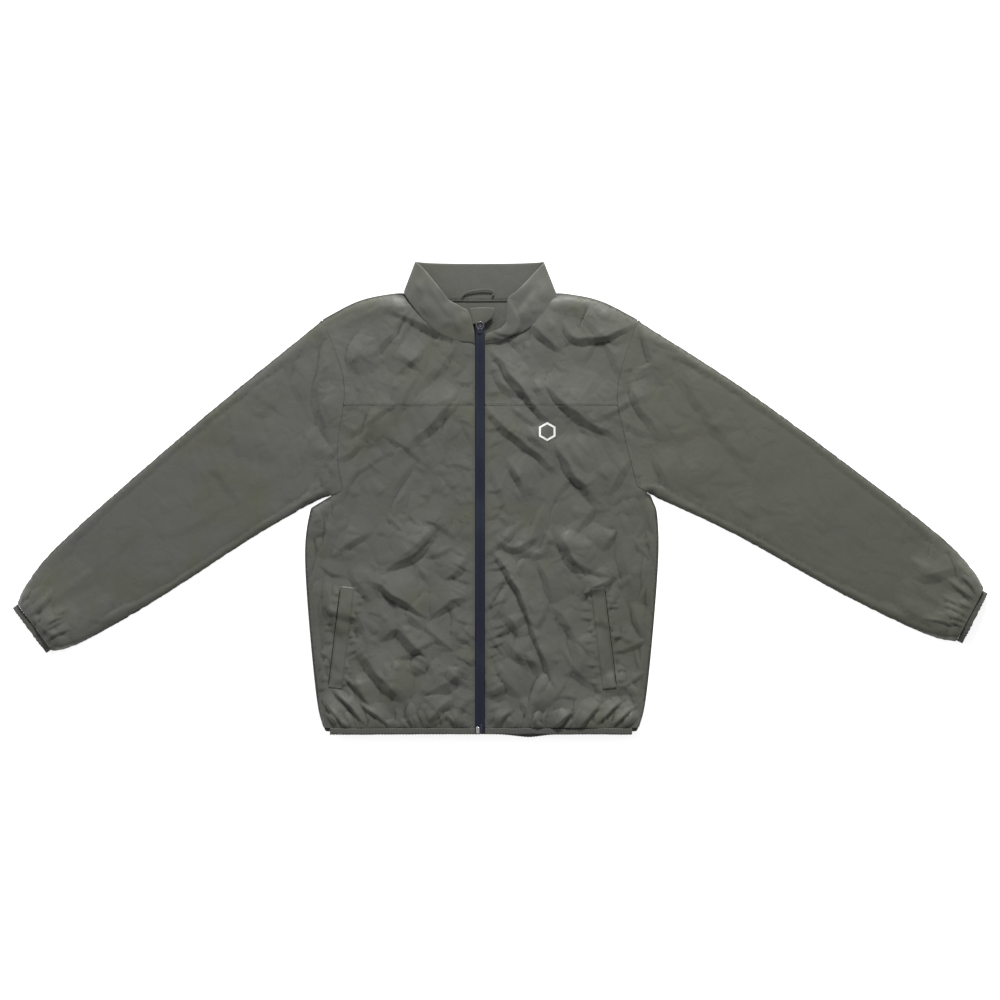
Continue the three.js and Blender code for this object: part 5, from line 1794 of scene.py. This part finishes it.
# %% Collar band
COLLAR_AROUND, COLLAR_UP = 132, 14
COLLAR_STRENGTH, COLLAR_CROWN = 1.9, 1.5 * MM
COLLAR_FOLDS = [
    ([(-88, 340), (-70, 312), (-56, 286)], 6, 1.5),
    ([(-96, 318), (-78, 292), (-66, 272)], 5, 1.2),
    ([(-66, 306), (-50, 284), (-44, 270)], 4, 1.0),
    ([(-60, 262), (-48, 268), (-40, 266)], 3, 0.8),
    ([(78, 338), (66, 318), (58, 298)], 7, 1.4),
    ([(88, 332), (96, 314), (104, 302)], 5, 1.0),
    ([(66, 292), (80, 286), (96, 292)], 6, 1.2),
    ([(-64, 344), (-58, 334), (-62, 326)], 6, 0.8),
    ([(62, 346), (58, 332), (50, 320)], 5, 0.7),
    ([(16, 259), (32, 250), (50, 251), (58, 262), (54, 280), (44, 300)], 3, 1.9),
    ([(-40, 286), (-36, 268), (-30, 252)], 4, 1.2),
    ([(-28, 284), (-24, 262)], 3, 1.0),
    ([(-98, 330), (-92, 322), (-84, 306)], 4, 1.4),
    ([(-72, 330), (-60, 318), (-50, 300)], 3.5, 1.5),
    ([(-92, 300), (-84, 288), (-72, 274)], 3, 1.2),
    ([(72, 300), (62, 282), (60, 262)], 4, 1.6),
    ([(86, 318), (76, 300), (80, 284)], 4, 1.4),
    ([(100, 330), (92, 312), (92, 296)], 4, 1.2),
    ([(20, 246), (34, 242), (48, 246)], 2.5, 1.0),
]
foot, rim_line = (along_rows([row[k] for row in COLLAR_ROWS], COLLAR_AROUND) * MM for k in (0, 1))
grid = np.zeros((COLLAR_AROUND, COLLAR_UP, 3))
front = np.clip((foot[:, 2] - 3 * MM) / (12 * MM), 0, 1)
for j, v in enumerate(np.linspace(0, 1, COLLAR_UP)):
    grid[:, j] = foot * (1 - v) + rim_line * v
    grid[:, j, 2] += COLLAR_CROWN * math.sin(math.pi * v) * front
flat_points = grid.reshape(-1, 3)[:, :2]
folds = long_folds(flat_points, COLLAR_FOLDS, COLLAR_STRENGTH).reshape(COLLAR_AROUND, COLLAR_UP)
lift = np.clip((grid[..., 2] - 1.5 * MM) / (6 * MM), 0.25, 1)
crumple = rumple(flat_points, 0.018, 77).reshape(COLLAR_AROUND, COLLAR_UP)
grid[..., 2] += folds * lift + 0.45 * MM * crumple * lift
collar = grid_piece("collar_band", grid, thickness=1.5 * MM, levels=1)
finish_piece(collar, shell, "torso", "shell_cloth", "collar_outer", "collar_inner")
print("collar", len(collar.data.polygons), "faces")

# %% [markdown]
# ## Zip garage
# A small folded flap at the top of the zip keeps the slider off the chin. It is one ply bent over, so a
# single curved sheet with rolled edges is enough: a grid whose right side bows out and whose foot dips
# under the slider.

# %% Zip garage
garage = np.zeros((16, 14, 3))
for i, v in enumerate(np.linspace(0, 1, 16)):
    y = 265 + 25 * v
    left = -14.5 - 1.5 * v
    right = 5 + 17.5 * math.sin(0.5 * math.pi * min(1, v * 1.15)) ** 0.85
    for j, u in enumerate(np.linspace(0, 1, 14)):
        x = left + (right - left) * u
        droop = 1.1 * (2 * u - 1) ** 2
        height = 19.2 - droop + 0.6 * math.sin(5 * u + 2 * v) - 1.2 * (1 - v) ** 2
        garage[i, j] = (x, y + 1.2 * math.sin(3 * u), height)
garage_piece = grid_piece("zip_garage", garage * MM, thickness=0.9 * MM, levels=1)
finish_piece(garage_piece, shell, "torso", "shell_cloth")
print("zip garage", len(garage_piece.data.polygons), "faces")

# %% [markdown]
# ## Inside pieces
# A wind flap backs the zip, a tape covers the neck seam, and a loop of the same tape hangs the jacket up.
# The flap is a sheet that waves a little. The tape and the loop are bands with a rounded section.

# %% Wind flap
low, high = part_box("wind_flap")
ys = np.linspace(low[1], high[1] - 1 * MM, 150)
flap = np.zeros((len(ys), 16, 3))
for i, y in enumerate(ys):
    tuck = max(0.0, (y - (high[1] - 9 * MM)) / (9 * MM))
    right = high[0] - 5 * MM * tuck**2
    for j, u in enumerate(np.linspace(0, 1, 16)):
        x = low[0] + (right - low[0]) * u
        flap[i, j] = (x, y, (low[2] + high[2]) / 2 + 0.8 * MM * noise.noise(Vector((x * 30, y * 24, 4.0))))
flap_piece = grid_piece("wind_flap_cloth", flap, thickness=0.8 * MM)
finish_piece(flap_piece, inner_shell, "torso", "shell_cloth", "wind_flap")

# %% Neck tape and hanger loop
TAPE_WIDE, TAPE_OVERLAP = 9 * MM, 6 * MM
low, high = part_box("neck_tape")
xs = np.linspace(low[0] - TAPE_OVERLAP, high[0] + TAPE_OVERLAP, 90)
curve = [305.4 * MM + 5.5 * MM * (abs(x) / 0.1) ** 3 for x in xs]
path = np.array([(x, y, 1.2 * MM + 0.1 * MM * wave(x, 3, (0.02,))) for x, y in zip(xs, curve)])
tape = swept("neck_tape_band", path, ALONG_Y, rounded_section(TAPE_WIDE, 0.7 * MM, 5, 6))
finish_piece(tape, binding, "torso", "binding_cloth", "neck_tape")
length = float(xs[-1] - xs[0])

LOOP_ROUTE = [
    (-26.5, 309.5, 4.2), (-22, 313.4, 4.4), (-12, 316.6, 4.7), (0, 318.2, 4.8),
    (12, 318.4, 4.8), (19.5, 316.6, 4.6), (21.0, 312.6, 4.3), (19.0, 309.4, 4.1),
]
loop_path = along_rows(LOOP_ROUTE, 60) * MM
ahead = np.gradient(loop_path, axis=0)
ahead /= np.linalg.norm(ahead, axis=1)[:, None]
side_way = np.cross(UP, ahead)
loop = swept("hanger_loop_band", loop_path, side_way, rounded_section(3.0 * MM, 1.1 * MM, 5, 3))
finish_piece(loop, binding, "hanger", "binding_cloth", "hanger_loop")

# %% [markdown]
# ## Welts and pocket bags
# A welt is a narrow folded strip that covers the pocket's slit. It takes its height from the folded front
# under it, smoothed, since its two plies are stiffer than one. The bags are two plies of thin lining that
# hang just behind the front, so they follow its height too.

# %% Welts and pocket bags
STITCH_LIFT = 0.42 * MM
BAG_INSET, BAG_LOWEST = 1 * MM, 2.4 * MM


def lean_grid(side, out0, out1, down0, down1, nu, nv):
    """Plan points of a patch in a pocket's own leaning frame."""
    middle, out, down, _, _ = welt_frame(side)
    us, vs = np.linspace(out0, out1, nu), np.linspace(down0, down1, nv)
    return np.array([[middle + out * u + down * v for u in us] for v in vs])


stitch_lines = []
for side in SIDES:
    middle, out, down, wide, half = welt_frame(side)
    plan = lean_grid(side, -wide, wide - 0.8 * MM, -half, half, 13, 64)
    grid = np.zeros((*plan.shape[:2], 3))
    for i in range(plan.shape[0]):
        for j in range(plan.shape[1]):
            x, y = plan[i, j]
            grid[i, j] = (x, y, calm_z(x, y, 2 * MM) + 0.2 * MM)
    high_up = grid[..., 2]
    grid[..., 2] = 0.5 * high_up + 0.25 * (np.roll(high_up, 1, 0) + np.roll(high_up, -1, 0))
    grid[0, :, 2], grid[-1, :, 2] = grid[1, :, 2], grid[-2, :, 2]
    welt = grid_piece(f"welt_{side}", grid, thickness=0.5 * MM)
    finish_piece(welt, shell, "torso", "shell_cloth", f"pocket_welt_{side}")
    for col in (1, -2):
        stitch_lines.append([tuple(p + (0, 0, STITCH_LIFT)) for p in grid[:, col]])

    def bag(name, node, drop, sag):
        points = np.array([v.co[:2] for v in nodes[node].data.vertices]) - middle
        outs, downs = points @ out, points @ down
        outs_in, downs_in = ((v.min() + BAG_INSET, v.max() - BAG_INSET) for v in (outs, downs))
        plan = lean_grid(side, *outs_in, *downs_in, 30, 40)
        grid = np.zeros((*plan.shape[:2], 3))
        for i, v in enumerate(np.linspace(0, 1, plan.shape[0])):
            for j, u in enumerate(np.linspace(0, 1, plan.shape[1])):
                x, y = plan[i, j]
                belly = (math.sin(math.pi * u) * math.sin(math.pi * v)) ** 0.5
                grid[i, j] = (x, y, max(front_z(x, y) - drop - sag * belly, BAG_LOWEST))
        piece = grid_piece(name, grid, thickness=0.4 * MM)
        finish_piece(piece, lining, "torso", "pocket_lining", node)

    bag(f"bag_upper_{side}", f"pocket_bag_upper_{side}", 1.6 * MM, 0)
    bag(f"bag_lower_{side}", f"pocket_bag_lower_{side}", 2.6 * MM, 4.5 * MM)

# %% [markdown]
# ## Printed badge
# A plain hexagon ring in white ink sits on the wearer's left chest. Ink has no shape of its own, so every
# point of the ring is set down on the cloth below it. A flat decal would float over the hollows.

# %% Badge
INK_LINE, INK_LIFT, INK_STEPS = 3.4 * MM, 0.22 * MM, 9
low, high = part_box("chest_badge")
centre = np.array(((low[0] + high[0]) / 2, (low[1] + high[1]) / 2))
outer_radius = (high[1] - low[1]) / 2
bm = bmesh.new()
rings = []
for r in np.linspace(outer_radius - INK_LINE, outer_radius, 5):
    ring_points = []
    for k in range(6):
        a, b = (math.radians(60 * (k + t) + 30) for t in (0, 1))
        for t in np.linspace(0, 1, INK_STEPS, endpoint=False):
            x = centre[0] + r * ((1 - t) * math.cos(a) + t * math.cos(b))
            y = centre[1] + r * ((1 - t) * math.sin(a) + t * math.sin(b))
            ring_points.append(bm.verts.new((x, y, front_z(x, y) + INK_LIFT)))
    rings.append(ring_points)
for inner_ring, outer_ring in zip(rings, rings[1:]):
    for k in range(len(inner_ring)):
        m = (k + 1) % len(inner_ring)
        bm.faces.new((inner_ring[k], outer_ring[k], outer_ring[m], inner_ring[m]))
mesh = bpy.data.meshes.new("printed_badge")
bm.to_mesh(mesh)
bm.free()
mesh.shade_smooth()
badge = bpy.data.objects.new("printed_badge", mesh)
scene.collection.objects.link(badge)
finish_piece(badge, ink, "torso", "white_print", "chest_badge")
print("badge", round(2 * outer_radius / MM), "mm tall")

# %% [markdown]
# ## Seams
# Panels meet at seams. Inside, the raw edges are folded together into a thin strip, which also stops light
# passing between the pieces. Each strip is a flat band along the line that two pattern outlines share.

# %% Shared lines
def shared_line(a, b, limit=2.2 * MM):
    """The part of one piece's outline that runs beside another's, in order."""
    loop = dense(outlines[a], 2 * MM)
    other = tree_of(dense(outlines[b], 0.5 * MM))
    close = np.array([other.find((*p, 0))[2] < limit for p in loop])
    if close.all() or not close.any():
        return loop
    first = next(i for i in range(len(loop)) if close[i] and not close[i - 1])
    loop, close = np.roll(loop, -first, 0), np.roll(close, -first)
    stop = len(close) if close.all() else int(np.argmin(close))
    return loop[:stop]


def drape(points, lift):
    return np.array([(x, y, front_z(x, y) + lift) for x, y in points])


# %% Seam strips
STRIP_WIDE, STRIP_CUT, STRIP_DEPTH, STRIP_LOWEST = 9 * MM, 10 * MM, 1.2 * MM, 1.0 * MM
STRIP_END = 5 * MM
seam_pairs = [
    (f"{a}_{side}", f"{b}_{side}")
    for side in SIDES
    for a, b in (("front_yoke", "front_panel"), ("sleeve", "front_panel"), ("sleeve", "front_yoke"))
]
for a, b in seam_pairs:
    line = shared_line(a, b)
    line = line[edge_distance(line) > STRIP_END]
    side_step = np.gradient(line, axis=0)
    side_step /= np.linalg.norm(side_step, axis=1)[:, None]
    across = np.column_stack([-side_step[:, 1], side_step[:, 0], np.zeros(len(line))])
    heights = crown(line) + big_relief(line) - STRIP_DEPTH
    path = np.column_stack([line, np.clip(heights, STRIP_LOWEST, None)])
    section = rounded_section(STRIP_WIDE, 0.7 * MM, 3, 2)
    strip = swept(f"seam_{a}_{b.split('_')[1]}", path, across, section)
    finish_piece(strip, inner_shell, "torso", "shell_cloth")
    length = path_length(path)
    print(strip.name, round(length / MM), "mm")

# %% [markdown]
# ## Topstitching
# Outside, a row of stitches runs beside the yoke seam, the zip, the hem and the welts. Each row is a line
# draped on the folded front, and the stitch tree sets its small capsules along all of them at once.

# %% Topstitching
SEAM_SHIFT, ZIP_SHIFT, HEM_SHIFT = 1.9 * MM, 10.4 * MM, 2.2 * MM
ON_CLOTH, LINE_STEP = 0.15 * MM, 3 * MM
for side, s in SIDES.items():
    seam = shared_line(f"front_yoke_{side}", f"front_panel_{side}")
    seam = seam[np.argsort(seam[:, 0])]
    stitch_lines.append(drape(seam[3:-3] + (0, SEAM_SHIFT), ON_CLOTH))
    ys = np.arange(-0.340, 0.236, LINE_STEP)
    stitch_lines.append(drape(np.column_stack([np.full(len(ys), s * ZIP_SHIFT), ys]), ON_CLOTH))
    xs = np.arange(0.016, 0.226, LINE_STEP) * s
    stitch_lines.append(drape(np.column_stack([xs, np.full(len(xs), hem_top + HEM_SHIFT)]), ON_CLOTH))
stitching = run_along(
    "topstitching", stitch_lines, STITCHES, thread, "torso", "shell_cloth",
    Spacing=3.1 * MM, Thickness=0.45 * MM, Stitch=2.5 * MM,
)
print("topstitching", len(stitching.data.polygons), "faces")

# %% [markdown]
# ## Bodies of the cloth pieces
# Last, each cloth piece gets the shell cloth, and each piece but the sleeves is tied to the torso. A sleeve
# is one tube that crosses the fold line: its frame parts are hidden and the fold's place is worked out.

# %% Cloth pieces on their bodies
BLEND_BEFORE, BLEND_AFTER = 0.004, 0.036


for name, piece in made.items():
    flat, triangles, _ = fabric[name]
    width, length = flat.max(0) - flat.min(0)
    piece.data.materials.clear()
    piece.data.materials.append(shell)
    if "sleeve" in name:
        side = name.rsplit("_", 1)[1]
        s = SIDES[side]
        fold = abs(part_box(f"sleeve_{side}")[1 if s < 0 else 0][0])
        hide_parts(f"sleeve_{side}", f"sleeve_cap_{side}")
        start, end = (s * (fold - BLEND_BEFORE), 0, 0), (s * (fold + BLEND_AFTER), 0, 0)
        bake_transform(piece)
        length = math.hypot(width, length) * 0.93
    else:
        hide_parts(name)
        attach(piece, "torso")
